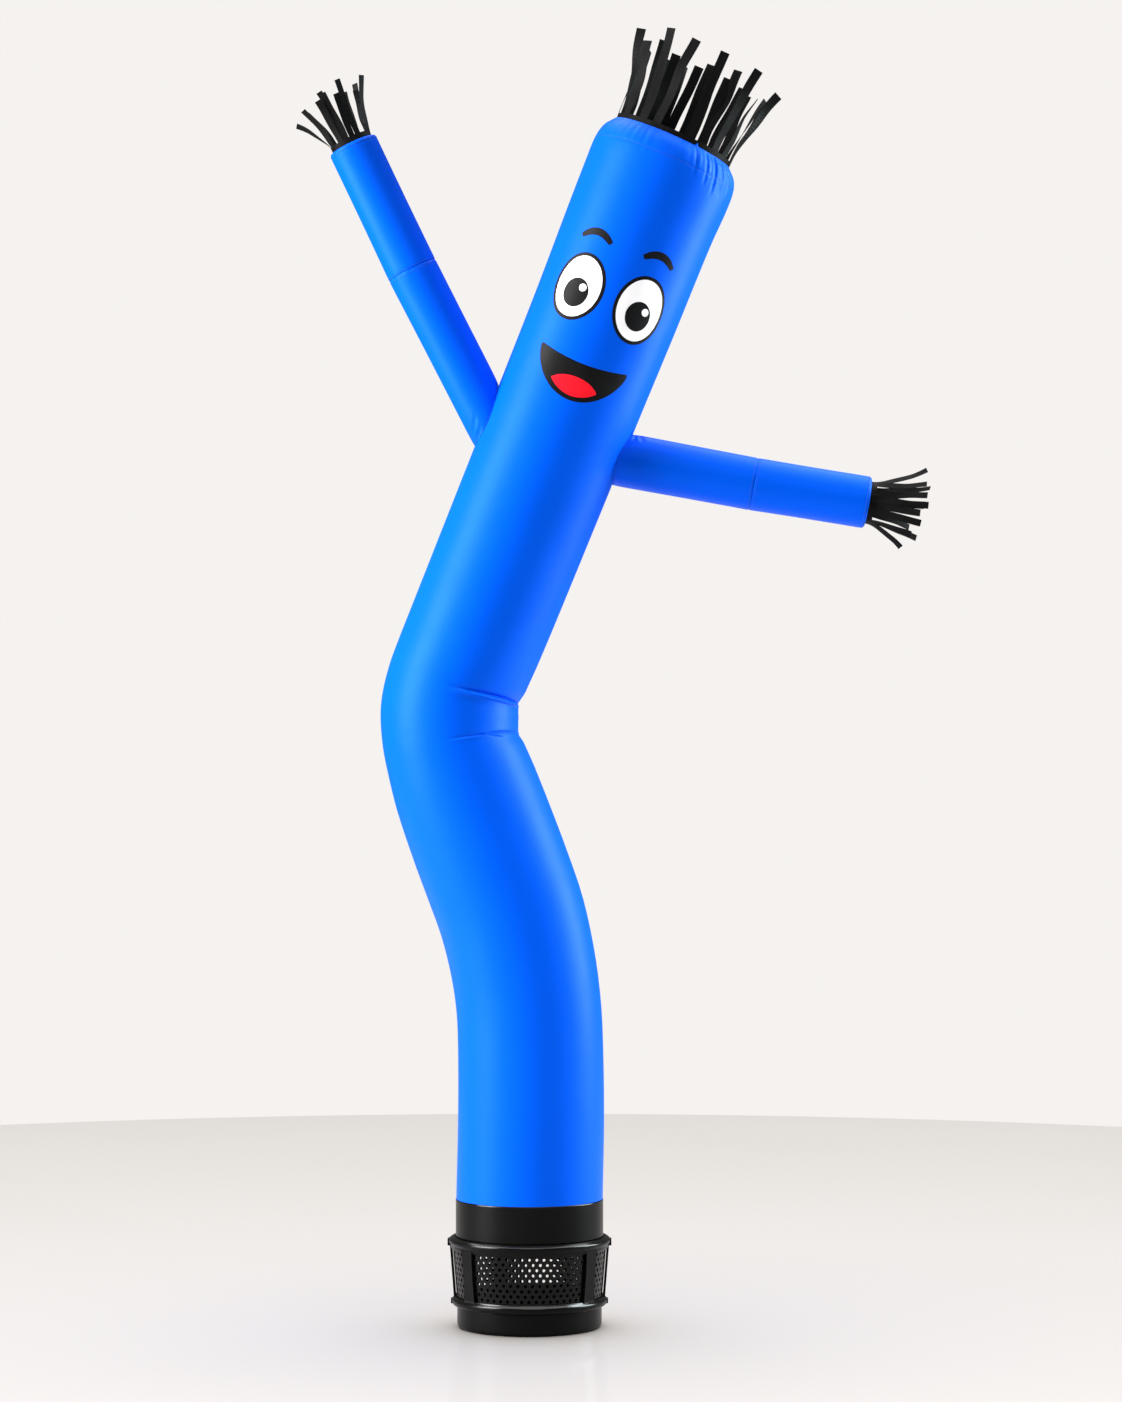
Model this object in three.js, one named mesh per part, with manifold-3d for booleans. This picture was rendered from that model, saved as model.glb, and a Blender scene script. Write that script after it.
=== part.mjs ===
// Inflatable air dancer standing on its blower base.
// Units are millimetres, +Z is up. The origin is the centre of the base's underside, on the ground.
// The dancer faces -Y, and its arms spread along X. Every tube's centre line lies in the plane y = 0.
import * as THREE from 'three';
import { mergeVertices } from 'three/addons/utils/BufferGeometryUtils.js';
import Module from 'manifold-3d';

const wasm = await Module();
wasm.setup();

// ---- Driving dimensions ----

const CLOTH = 2; // thickness of every cloth wall
const GAP = 0.3; // clearance where two pieces meet
const BODY_SIDES = 36; // facets around the body
const SLEEVE_SIDES = 20; // facets around a sleeve
const BASE_SIDES = 36; // facets around the blower's mouldings

const NOZZLE_TOP = 199; // height of the shoulder on which the cloth foot stands
const SPIGOT_TOP = 232; // top of the spigot that the foot is pulled over
const SPIGOT_RADIUS = 111;
const NOZZLE_RADIUS = 114.7;
const NOZZLE_WALL = 4;
const NOZZLE_CHAMFER = 2;
const FLANGE_TOP = 141; // the cage's upper ring, which carries the nozzle
const FLANGE_RADIUS = 125.6;
const WINDOW_TOP = 123;
const WINDOW_BOTTOM = 49;
const BEAD_RADIUS = 120.6; // the cage's lower ring
const CAGE_FOOT = 34;
const CAGE_BORE = 108; // inner radius of both rings
// Outlines of the cage's two rings: what each corner stands back from the ring's widest radius,
// and its height above the ring's foot.
const FLANGE_PROFILE = [
  { back: 1.5, up: 0 },
  { back: 0.5, up: 8 },
  { back: 0, up: 10 },
  { back: 2, up: 14 },
];
const FLANGE_BRIM = 4; // how far the flange's top face reaches out past the nozzle
const RING_PROFILE = [
  { back: 0, up: 4 },
  { back: 0, up: 9 },
  { back: 3, up: 13 },
];
const RING_CHAMFER = 3;
const DRUM_RADIUS = 112.4;
const DRUM_WALL = 4;
const DRUM_EDGE = 7; // rounding of the drum's lower edge
const DRUM_EDGE_MIDDLE = DRUM_EDGE * (1 - Math.SQRT1_2); // where the rounding lies at 45 degrees
const DRUM_LIP_TOP = 45; // top of the lip that locates the cage

const POST_ANGLES = [38.5, 0, -38.5, 141.5, 180, -141.5]; // from +X, towards +Y
const POST_WIDTH = 22;
const POST_TOP_RADIUS = 123.3;
const POST_FOOT_RADIUS = 117.6;
const POST_DEPTH = 3.4;
const POST_ROOT = 4; // how far a post runs into the ring at either end

const GRILLE_WALL = 1.5;
const GRILLE_COLUMNS = 32;
const GRILLE_ROWS = 4;
const GRILLE_TOP_RADIUS = 119;
const GRILLE_FOOT_RADIUS = 113.2;
const HOLE_SHARE = 0.31; // hole's corner radius over the pitch of the holes

// The body from foot to mouth. Each row is one section of the tube: its centre, its lean to the
// right in degrees, and its half widths across the front (wide) and from front to back (deep).
const BODY_SECTIONS = [
  { z: NOZZLE_TOP + GAP, x: 0, lean: 0, wide: 114, deep: 114 },
  { z: 330, x: 2.5, lean: 0, wide: 113.6, deep: 113.6 },
  { z: 460, x: 1, lean: -1, wide: 112.8, deep: 112.8 },
  { z: 520, x: -3.6, lean: -4.5, wide: 112.8, deep: 112.8 },
  { z: 580, x: -13.4, lean: -9.5, wide: 113.4, deep: 113 },
  { z: 640, x: -28, lean: -15, wide: 114.2, deep: 113 },
  { z: 700, x: -49, lean: -18.5, wide: 114.6, deep: 113 },
  { z: 760, x: -71.3, lean: -19, wide: 114.4, deep: 113 },
  { z: 835, x: -98.5, lean: -17, wide: 112.4, deep: 113 },
  { z: 880, x: -113, lean: -12, wide: 109, deep: 113 },
  { z: 916, x: -122.9, lean: -5.5, wide: 106.3, deep: 113 },
  { z: 957, x: -124, lean: 5.4, wide: 107.5, deep: 113 },
  { z: 998, x: -117.8, lean: 16, wide: 104.8, deep: 113 },
  { z: 1035, x: -101.6, lean: 18.5, wide: 107.4, deep: 112.5 },
  { z: 1073, x: -85.6, lean: 20.5, wide: 108.2, deep: 112 },
  { z: 1145, x: -56.3, lean: 21.7, wide: 109, deep: 111 },
  { z: 1456, x: 68.9, lean: 21.7, wide: 111.3, deep: 111.5 },
  { z: 1578, x: 118.1, lean: 21.7, wide: 112.7, deep: 112.7 },
  { z: 1723, x: 175.1, lean: 21.7, wide: 114.8, deep: 114.5 },
  { z: 1773, x: 196.2, lean: 22, wide: 116.4, deep: 116 },
  { z: 1802, x: 207.7, lean: 22.5, wide: 116.4, deep: 116 },
  { z: 1815, x: 212.9, lean: 23, wide: 114.2, deep: 114 },
  { z: 1827, x: 217.6, lean: 23.5, wide: 108.8, deep: 108.8 },
  { z: 1838.5, x: 222, lean: 24, wide: 98.2, deep: 98.2 },
];
const MOUTH = BODY_SECTIONS.at(-1);

// Creases that start at the inner side of the waist bend and fade out across the front and back.
const WAIST_CREASES = [
  { z: 916, deep: 3.5, high: 9 },
  { z: 998, deep: 4.5, high: 9 },
];
const CREASE_REACH = 100; // degrees from the bend's inner side to where a crease has faded out
const CREASE_EDGE = 1.3; // height from a crease's line to its edge, over the crease's own height

// Gathers where the mouth's casing draws the cloth in: angle from +X towards +Y, depth and length.
const GATHERS = [
  { at: -10, deep: 2.5, long: 45 },
  { at: -30, deep: 3.5, long: 60 },
  { at: -50, deep: 4, long: 62 },
  { at: -70, deep: 3.5, long: 58 },
  { at: -90, deep: 1.5, long: 30 },
  { at: -110, deep: 2.5, long: 45 },
  { at: -130, deep: 3, long: 52 },
  { at: -150, deep: 2.5, long: 40 },
  { at: 170, deep: 2, long: 35 },
  { at: 140, deep: 3, long: 50 },
  { at: 120, deep: 3.5, long: 55 },
  { at: 90, deep: 2.5, long: 45 },
  { at: 60, deep: 3, long: 55 },
  { at: 30, deep: 3, long: 50 },
];
const GATHER_SHARPNESS = 3; // how fast a gather fades beside its line, against a facet's width

// Arms: the centre line's points (x, z) at shoulder, elbow and wrist, with the sleeve's radii.
const LEFT_ARM = {
  shoulder: { x: -67.7, z: 1419, radius: 39.3 },
  elbow: { x: -182.2, z: 1642.2, radius: 39.9 },
  wrist: { x: -275.4, z: 1837.6, radius: 39.3 },
  rim: 35.6,
};
const RIGHT_ARM = {
  shoulder: { x: 147.8, z: 1347.5, radius: 43 },
  elbow: { x: 348.5, z: 1310.2, radius: 41.1 },
  wrist: { x: 526.7, z: 1281.2, radius: 40.6 },
  rim: 35.4,
};
const SLEEVE_INSET = 62; // how far a sleeve is first drawn into the body, before it is cut back
const SLEEVE_WAIST = 0.4; // how much a sleeve is drawn in midway between its seams
const WRIST_ROUND = 8; // length over which a wrist rounds in to its rim
const WRIST_ROUNDINGS = [0.5, 0.85, 1]; // shares of that length at which its sections stand
const WRIST_CURVE = 3; // power of the rounding's outline: 2 is an ellipse, more is fuller

// Streamers: angle around the rim, height of the tip above it, how far the tip stands outwards and
// sideways (towards a greater angle) of its root, and how far the strip is turned there, in degrees.
const HEAD_STREAMERS = [
  { at: 185, rise: 147, out: 16, aside: 4, turn: 50 },
  { at: 195, rise: 131, out: 4, aside: 3, turn: 40 },
  { at: 215, rise: 146, out: 3, aside: 6, turn: 25 },
  { at: 225, rise: 162, out: 8, aside: 6, turn: 20 },
  { at: 245, rise: 135, out: 10, aside: 3, turn: -15 },
  { at: 255, rise: 156, out: 14, aside: 3, turn: 5 },
  { at: 275, rise: 132, out: 8, aside: -6, turn: -20 },
  { at: 285, rise: 141, out: 15, aside: -9, turn: 10 },
  { at: 295, rise: 155, out: 10, aside: -12, turn: 0 },
  { at: 315, rise: 133, out: 9, aside: -12, turn: -25 },
  { at: 325, rise: 146, out: 14, aside: -8, turn: -10 },
  { at: 345, rise: 125, out: 10, aside: -4, turn: -35 },
  { at: 355, rise: 149, out: 17, aside: 0, turn: -50 },
  { at: 5, rise: 129, out: 34, aside: 4, turn: -60 },
  { at: 25, rise: 136, out: 15, aside: 6, turn: 40 },
  { at: 35, rise: 148, out: 22, aside: 6, turn: 30 },
  { at: 45, rise: 128, out: 12, aside: 2, turn: 20 },
  { at: 65, rise: 142, out: 7, aside: 2, turn: -10 },
  { at: 75, rise: 133, out: 14, aside: 4, turn: 15 },
  { at: 95, rise: 150, out: 9, aside: 3, turn: 0 },
  { at: 105, rise: 138, out: 13, aside: 5, turn: -15 },
  { at: 115, rise: 146, out: 6, aside: 4, turn: 10 },
  { at: 135, rise: 129, out: 10, aside: 3, turn: 25 },
  { at: 145, rise: 143, out: 15, aside: 3, turn: -20 },
  { at: 165, rise: 126, out: 5, aside: -3, turn: -40 },
  { at: 175, rise: 138, out: 10, aside: 2, turn: -45 },
];
const LEFT_STREAMERS = [
  { at: 171, rise: 62, out: 34, aside: 3, turn: 50 },
  { at: 207, rise: 77, out: 22, aside: 3, turn: 30 },
  { at: 243, rise: 81, out: 16, aside: 2, turn: 10 },
  { at: 261, rise: 90, out: 12, aside: -1, turn: -10 },
  { at: 279, rise: 79, out: 17, aside: 3, turn: 15 },
  { at: 297, rise: 100, out: 13, aside: 1, turn: 0 },
  { at: 333, rise: 72, out: 12, aside: 2, turn: -30 },
  { at: 351, rise: 90, out: 27, aside: 3, turn: -50 },
  { at: 27, rise: 84, out: 20, aside: 4, turn: 30 },
  { at: 63, rise: 79, out: 15, aside: -3, turn: 10 },
  { at: 99, rise: 95, out: 14, aside: 4, turn: -10 },
  { at: 135, rise: 76, out: 24, aside: 2, turn: 20 },
];
const RIGHT_STREAMERS = [
  { at: 189, rise: 80, out: 33, aside: 3, turn: 45 },
  { at: 207, rise: 84, out: 17, aside: 4, turn: 30 },
  { at: 243, rise: 89, out: 19, aside: 0, turn: 10 },
  { at: 261, rise: 94, out: 13, aside: -1, turn: 0 },
  { at: 279, rise: 82, out: 18, aside: -2, turn: 10 },
  { at: 297, rise: 86, out: 12, aside: 1, turn: -10 },
  { at: 333, rise: 72, out: 13, aside: -2, turn: -25 },
  { at: 351, rise: 59, out: 29, aside: 3, turn: -45 },
  { at: 27, rise: 80, out: 16, aside: 4, turn: 25 },
  { at: 63, rise: 66, out: 18, aside: -3, turn: 0 },
  { at: 99, rise: 82, out: 14, aside: 5, turn: -10 },
  { at: 135, rise: 88, out: 22, aside: 3, turn: 20 },
];
const STRIP_THICKNESS = 1.2;
const HEAD_STRIP_WIDTH = 14;
const LEFT_STRIP_WIDTH = 8.4;
const RIGHT_STRIP_WIDTH = 9.6;
const STRIP_STEPS = 4;
const STRIP_FLARE = 1.7; // power by which a strip leans outwards along its length
const STRIP_SWAY = 2; // and the power by which it leans sideways
const STRIP_STRIDE = 0.01; // share of a strip's length over which its direction is taken
const BAND_STANDS = 2.5; // how far a streamers' band stands out of its rim
const BAND_CLEAR = 0.4; // clearance between a band and the cloth around it
const BAND_OUTER = CLOTH + BAND_CLEAR; // how far a band's outer side lies inside the cloth's
const BAND_THICKNESS = 1.6;
const BAND_INNER = BAND_OUTER + BAND_THICKNESS;
const BAND_FOOT = 1833; // height of the section at which the mouth's band starts
const MOUTH_ROUNDING = 1821; // height of one more section where the cloth rounds in to the mouth

const CLOTH_BLUE = new THREE.MeshStandardMaterial({ color: 0x0070ff, roughness: 0.45, metalness: 0 });
const STREAMER_BLACK = new THREE.MeshStandardMaterial({ color: 0x222222, roughness: 0.6, metalness: 0 });
const PLASTIC_BLACK = new THREE.MeshStandardMaterial({ color: 0x1a1a1a, roughness: 0.35, metalness: 0 });

// ---- Solids ----

const radians = THREE.MathUtils.degToRad;

// Joins rings of points, each anticlockwise about the way the rings go, into one closed surface.
// Either both ends are capped, or the last ring closes on the first, as on a tube with a wall.
function loft(rings, { capped }) {
  const sides = rings[0].length;
  const positions = rings.flat().flatMap((point) => point.toArray());
  const index = [];
  const spans = capped ? rings.length - 1 : rings.length;
  for (let ring = 0; ring < spans; ring += 1) {
    const low = ring * sides;
    const high = ((ring + 1) % rings.length) * sides;
    for (let side = 0; side < sides; side += 1) {
      const next = (side + 1) % sides;
      index.push(low + side, low + next, high + next, low + side, high + next, high + side);
    }
  }
  if (capped) {
    const top = (rings.length - 1) * sides;
    for (let side = 1; side < sides - 1; side += 1) {
      index.push(0, side + 1, side, top, top + side, top + side + 1);
    }
  }
  const geometry = new THREE.BufferGeometry();
  geometry.setAttribute('position', new THREE.Float32BufferAttribute(positions, 3));
  geometry.setIndex(index);
  return geometry;
}

function toSolid(geometry) {
  const bare = geometry.clone();
  bare.deleteAttribute('normal');
  bare.deleteAttribute('uv');
  const merged = mergeVertices(bare);
  return new wasm.Manifold(new wasm.Mesh({
    numProp: 3,
    vertProperties: new Float32Array(merged.attributes.position.array),
    triVerts: new Uint32Array(merged.index.array),
  }));
}

function toGeometry(solid) {
  const { vertProperties, triVerts } = solid.getMesh();
  const geometry = new THREE.BufferGeometry();
  geometry.setAttribute('position', new THREE.Float32BufferAttribute(vertProperties, 3));
  geometry.setIndex(new THREE.Uint32BufferAttribute(triVerts, 1));
  geometry.computeVertexNormals();
  return geometry;
}

// A solid of revolution from a closed profile of [radius, height] points, about the Z axis.
function turned(profile) {
  const points = [...profile, profile[0]].map(([radius, height]) => new THREE.Vector2(radius, height));
  return toSolid(new THREE.LatheGeometry(points, BASE_SIDES).rotateX(Math.PI / 2));
}

// ---- Sections of a tube ----

// The frame of a section: across (its right-hand side in the plane y = 0), along, and its centre.
function frameOf({ x, z, lean }) {
  const angle = radians(lean);
  return {
    centre: new THREE.Vector3(x, 0, z),
    across: new THREE.Vector3(Math.cos(angle), 0, -Math.sin(angle)),
    along: new THREE.Vector3(Math.sin(angle), 0, Math.cos(angle)),
  };
}

// The point of a section at an angle from its right-hand side, moved inwards by inset.
function pointOn(section, angle, inset) {
  const { centre, across } = frameOf(section);
  const point = centre.addScaledVector(across, (section.wide - inset) * Math.cos(angle));
  point.y += (section.deep - inset) * Math.sin(angle);
  return point;
}

// The section at a height: a smooth curve through the table's rows, on which each row's slope is
// that of the line between its two neighbours.
function sectionAt(z) {
  const rows = BODY_SECTIONS;
  const last = rows.length - 1;
  const row = THREE.MathUtils.clamp(rows.findLastIndex((r) => r.z <= z), 0, last - 1);
  const low = rows[row];
  const high = rows[row + 1];
  const before = rows[Math.max(row - 1, 0)];
  const after = rows[Math.min(row + 2, last)];
  const span = high.z - low.z;
  const t = (z - low.z) / span;
  const section = { z };
  for (const key of ['x', 'lean', 'wide', 'deep']) {
    const slopeLow = span * (high[key] - before[key]) / (high.z - before.z);
    const slopeHigh = span * (after[key] - low[key]) / (after.z - low.z);
    section[key] = (2 * t ** 3 - 3 * t ** 2 + 1) * low[key] + (t ** 3 - 2 * t ** 2 + t) * slopeLow
      + (3 * t ** 2 - 2 * t ** 3) * high[key] + (t ** 3 - t ** 2) * slopeHigh;
  }
  return section;
}

// How far creases and gathers draw the body's cloth in at a height and an angle.
function foldDepth(z, angle) {
  const fromInside = Math.abs(Math.atan2(Math.sin(angle), Math.cos(angle)));
  const fade = Math.cos(Math.min(fromInside / radians(CREASE_REACH), 1) * Math.PI / 2);
  let depth = 0;
  for (const crease of WAIST_CREASES) {
    depth += crease.deep * fade * Math.exp(-(((z - crease.z) / crease.high) ** 2));
  }
  const column = radians(360 / BODY_SIDES);
  for (const gather of GATHERS) {
    const turn = angle - radians(gather.at);
    const off = Math.atan2(Math.sin(turn), Math.cos(turn)) / column;
    const rise = Math.max(1 - (MOUTH.z - z) / gather.long, 0);
    depth += gather.deep * rise * Math.exp(-(off ** 2) * GATHER_SHARPNESS);
  }
  return depth;
}

function bodyRing(z, inset) {
  const section = sectionAt(z);
  return Array.from({ length: BODY_SIDES }, (_, side) => {
    const angle = radians(side * 360 / BODY_SIDES);
    return pointOn(section, angle, inset + foldDepth(z, angle));
  });
}

function sleeveRing(section, inset) {
  const round = { ...section, wide: section.radius, deep: section.radius };
  return Array.from({ length: SLEEVE_SIDES }, (_, side) => (
    pointOn(round, radians(side * 360 / SLEEVE_SIDES), inset)
  ));
}

// A hollow wall between two insets of the same rings.
function wall(ringAt, stations, outer, inner) {
  const outside = stations.map((station) => ringAt(station, outer));
  const inside = stations.map((station) => ringAt(station, inner)).reverse();
  return toSolid(loft([...outside, ...inside], { capped: false }));
}

// ---- Body ----

// Rings stand at the table's rows, and beside each crease and gather to give them their sides.
function bodyStations() {
  const extra = [MOUTH_ROUNDING, BAND_FOOT];
  for (const crease of WAIST_CREASES) {
    const edge = crease.high * CREASE_EDGE;
    extra.push(crease.z - edge, crease.z + edge);
  }
  return [...BODY_SECTIONS.map((row) => row.z), ...extra].sort((a, b) => a - b);
}

// Where a sleeve is sewn on, the body has a hole as wide as the sleeve's bore.
function body() {
  let cloth = wall(bodyRing, bodyStations(), 0, CLOTH);
  for (const arm of [LEFT_ARM, RIGHT_ARM]) {
    const bore = toSolid(loft(upperSleeve(arm).map((s) => sleeveRing(s, CLOTH)), { capped: true }));
    cloth = cloth.subtract(bore);
  }
  return cloth;
}

// ---- Sleeves ----

function leanOf(from, to) {
  return THREE.MathUtils.radToDeg(Math.atan2(to.x - from.x, to.z - from.z));
}

function along(from, lean, distance) {
  const angle = radians(lean);
  return { x: from.x + Math.sin(angle) * distance, z: from.z + Math.cos(angle) * distance };
}

// Sections of an upper sleeve, from inside the body to the elbow's seam.
function upperSleeve({ shoulder, elbow, wrist }) {
  const lean = leanOf(shoulder, elbow);
  const seam = (lean + leanOf(elbow, wrist)) / 2;
  const inside = along(shoulder, lean, -SLEEVE_INSET);
  const middle = { x: (shoulder.x + elbow.x) / 2, z: (shoulder.z + elbow.z) / 2 };
  const end = along(elbow, seam, -GAP / 2);
  return [
    { ...inside, lean, radius: shoulder.radius },
    { ...shoulder, lean, radius: shoulder.radius },
    { ...middle, lean, radius: (shoulder.radius + elbow.radius) / 2 - SLEEVE_WAIST },
    { ...end, lean: seam, radius: elbow.radius },
  ];
}

// Sections of a forearm sleeve, from the elbow's seam to the rounded rim at the wrist.
function foreSleeve({ shoulder, elbow, wrist, rim }) {
  const lean = leanOf(elbow, wrist);
  const seam = (leanOf(shoulder, elbow) + lean) / 2;
  const start = along(elbow, seam, GAP / 2);
  const middle = { x: (elbow.x + wrist.x) / 2, z: (elbow.z + wrist.z) / 2 };
  const roundings = WRIST_ROUNDINGS.map((share) => ({
    ...along(wrist, lean, WRIST_ROUND * (share - 1)),
    lean,
    radius: rim + (wrist.radius - rim) * Math.sqrt(1 - share ** WRIST_CURVE),
  }));
  return [
    { ...start, lean: seam, radius: elbow.radius },
    { ...middle, lean, radius: (elbow.radius + wrist.radius) / 2 - SLEEVE_WAIST },
    { ...along(wrist, lean, -WRIST_ROUND), lean, radius: wrist.radius },
    ...roundings,
  ];
}

function sleeve(sections) {
  return wall(sleeveRing, sections, 0, CLOTH);
}

// The body's outer form with a clearance, which cuts each upper sleeve to the body's surface.
function bodyCutter() {
  return toSolid(loft(bodyStations().map((z) => bodyRing(z, -GAP)), { capped: true }));
}

// ---- Streamers ----

// The corners of one flat strip at each step from its root to its square-cut tip, anticlockwise
// about its length. It starts at root, in the frame of the rim.
function stripCorners({ at, rise, out, aside, turn }, root, { across, along: axis }, width) {
  const angle = radians(at);
  const outwards = across.clone().multiplyScalar(Math.cos(angle)).setY(Math.sin(angle));
  const sideways = across.clone().multiplyScalar(-Math.sin(angle)).setY(Math.cos(angle));
  const pathAt = (t) => root.clone()
    .addScaledVector(axis, rise * t)
    .addScaledVector(outwards, out * t ** STRIP_FLARE)
    .addScaledVector(sideways, aside * t ** STRIP_SWAY);
  return Array.from({ length: STRIP_STEPS }, (_, step) => {
    const t = (step + 1) / STRIP_STEPS;
    const forwards = pathAt(t).sub(pathAt(t - STRIP_STRIDE)).normalize();
    const face = sideways.clone().cross(forwards).normalize();
    face.applyAxisAngle(forwards, radians(turn) * t);
    const edge = forwards.clone().cross(face);
    return [[1, -1], [1, 1], [-1, 1], [-1, -1]].map(([f, e]) => (
      pathAt(t).addScaledVector(face, f * STRIP_THICKNESS / 2).addScaledVector(edge, e * width / 2)
    ));
  });
}

// The band inside a rim, and the strips that grow from it. The band has the facets of the cloth
// around it, and the facet at a strip's angle carries that strip in place of its top face.
function streamers(outside, inside, table, rimFrame, width) {
  const rings = [...outside, ...inside.reverse()];
  const sides = outside[0].length;
  const points = rings.flat();
  const index = [];
  const quad = (a, b, c, d) => index.push(a, b, c, a, c, d);
  const rowsAt = new Map(table.map((row) => [Math.floor(row.at * sides / 360), row]));
  rings.forEach((_, ring) => {
    const low = ring * sides;
    const high = ((ring + 1) % rings.length) * sides;
    for (let side = 0; side < sides; side += 1) {
      const next = (side + 1) % sides;
      let corners = [low + side, low + next, high + next, high + side];
      const row = ring === outside.length - 1 ? rowsAt.get(side) : undefined;
      if (row) {
        const root = new THREE.Vector3();
        corners.forEach((corner) => root.addScaledVector(points[corner], 1 / 4));
        for (const upper of stripCorners(row, root, rimFrame, width)) {
          const raised = upper.map((point) => points.push(point) - 1);
          corners.forEach((corner, i) => {
            const after = (i + 1) % 4;
            quad(corner, corners[after], raised[after], raised[i]);
          });
          corners = raised;
        }
      }
      quad(...corners);
    }
  });
  const geometry = new THREE.BufferGeometry();
  const positions = points.flatMap((point) => point.toArray());
  geometry.setAttribute('position', new THREE.Float32BufferAttribute(positions, 3));
  geometry.setIndex(index);
  return toSolid(geometry);
}

// The same ring of points, moved along the axis of its rim until it stands out of it.
function stoodOut(ring, axis) {
  return ring.map((point) => point.clone().addScaledVector(axis, BAND_STANDS));
}

function headStreamers() {
  const frame = frameOf(MOUTH);
  const rings = (inset) => {
    const rim = bodyRing(MOUTH.z, inset);
    return [bodyRing(BAND_FOOT, inset), rim, stoodOut(rim, frame.along)];
  };
  return streamers(rings(BAND_OUTER), rings(BAND_INNER), HEAD_STREAMERS, frame, HEAD_STRIP_WIDTH);
}

function handStreamers(arm, table, width) {
  const sections = foreSleeve(arm);
  const frame = frameOf(sections.at(-1));
  const rings = (inset) => {
    const [below, rim] = sections.slice(-2).map((section) => sleeveRing(section, inset));
    return [below, rim, stoodOut(rim, frame.along)];
  };
  return streamers(rings(BAND_OUTER), rings(BAND_INNER), table, frame, width);
}

// ---- Blower base ----

// The outlet nozzle: a shoulder under the cloth foot, and a spigot inside it.
function nozzle() {
  const inner = SPIGOT_RADIUS - NOZZLE_WALL;
  return turned([
    [inner, FLANGE_TOP + GAP],
    [NOZZLE_RADIUS, FLANGE_TOP + GAP],
    [NOZZLE_RADIUS, NOZZLE_TOP - NOZZLE_CHAMFER],
    [NOZZLE_RADIUS - NOZZLE_CHAMFER, NOZZLE_TOP],
    [SPIGOT_RADIUS, NOZZLE_TOP],
    [SPIGOT_RADIUS, SPIGOT_TOP - NOZZLE_CHAMFER],
    [SPIGOT_RADIUS - NOZZLE_CHAMFER, SPIGOT_TOP],
    [inner, SPIGOT_TOP],
  ]);
}

// A post of the cage: a box that leans out from the lower ring to the upper one.
function post(angle) {
  const heights = [WINDOW_BOTTOM - POST_ROOT, WINDOW_TOP + POST_ROOT];
  const outer = [POST_FOOT_RADIUS, POST_TOP_RADIUS];
  const rings = heights.map((z, end) => (
    [[1, -1], [1, 1], [0, 1], [0, -1]].map(([out, side]) => (
      new THREE.Vector3(outer[end] - POST_DEPTH * (1 - out), side * POST_WIDTH / 2, z)
    ))
  ));
  return toSolid(loft(rings, { capped: true }).rotateZ(radians(angle)));
}

// The intake cage: a flange with a rolled bead, a lower ring with one, and posts between them.
function cage() {
  const flange = turned([
    [CAGE_BORE, WINDOW_TOP],
    ...FLANGE_PROFILE.map(({ back, up }) => [FLANGE_RADIUS - back, WINDOW_TOP + up]),
    [NOZZLE_RADIUS + FLANGE_BRIM, FLANGE_TOP],
    [CAGE_BORE, FLANGE_TOP],
  ]);
  const ring = turned([
    [CAGE_BORE, CAGE_FOOT + GAP],
    [BEAD_RADIUS - RING_CHAMFER, CAGE_FOOT + GAP],
    ...RING_PROFILE.map(({ back, up }) => [BEAD_RADIUS - back, CAGE_FOOT + up]),
    [POST_FOOT_RADIUS, WINDOW_BOTTOM],
    [CAGE_BORE, WINDOW_BOTTOM],
  ]);
  return POST_ANGLES.reduce((joined, angle) => joined.add(post(angle)), flange.add(ring));
}

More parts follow.
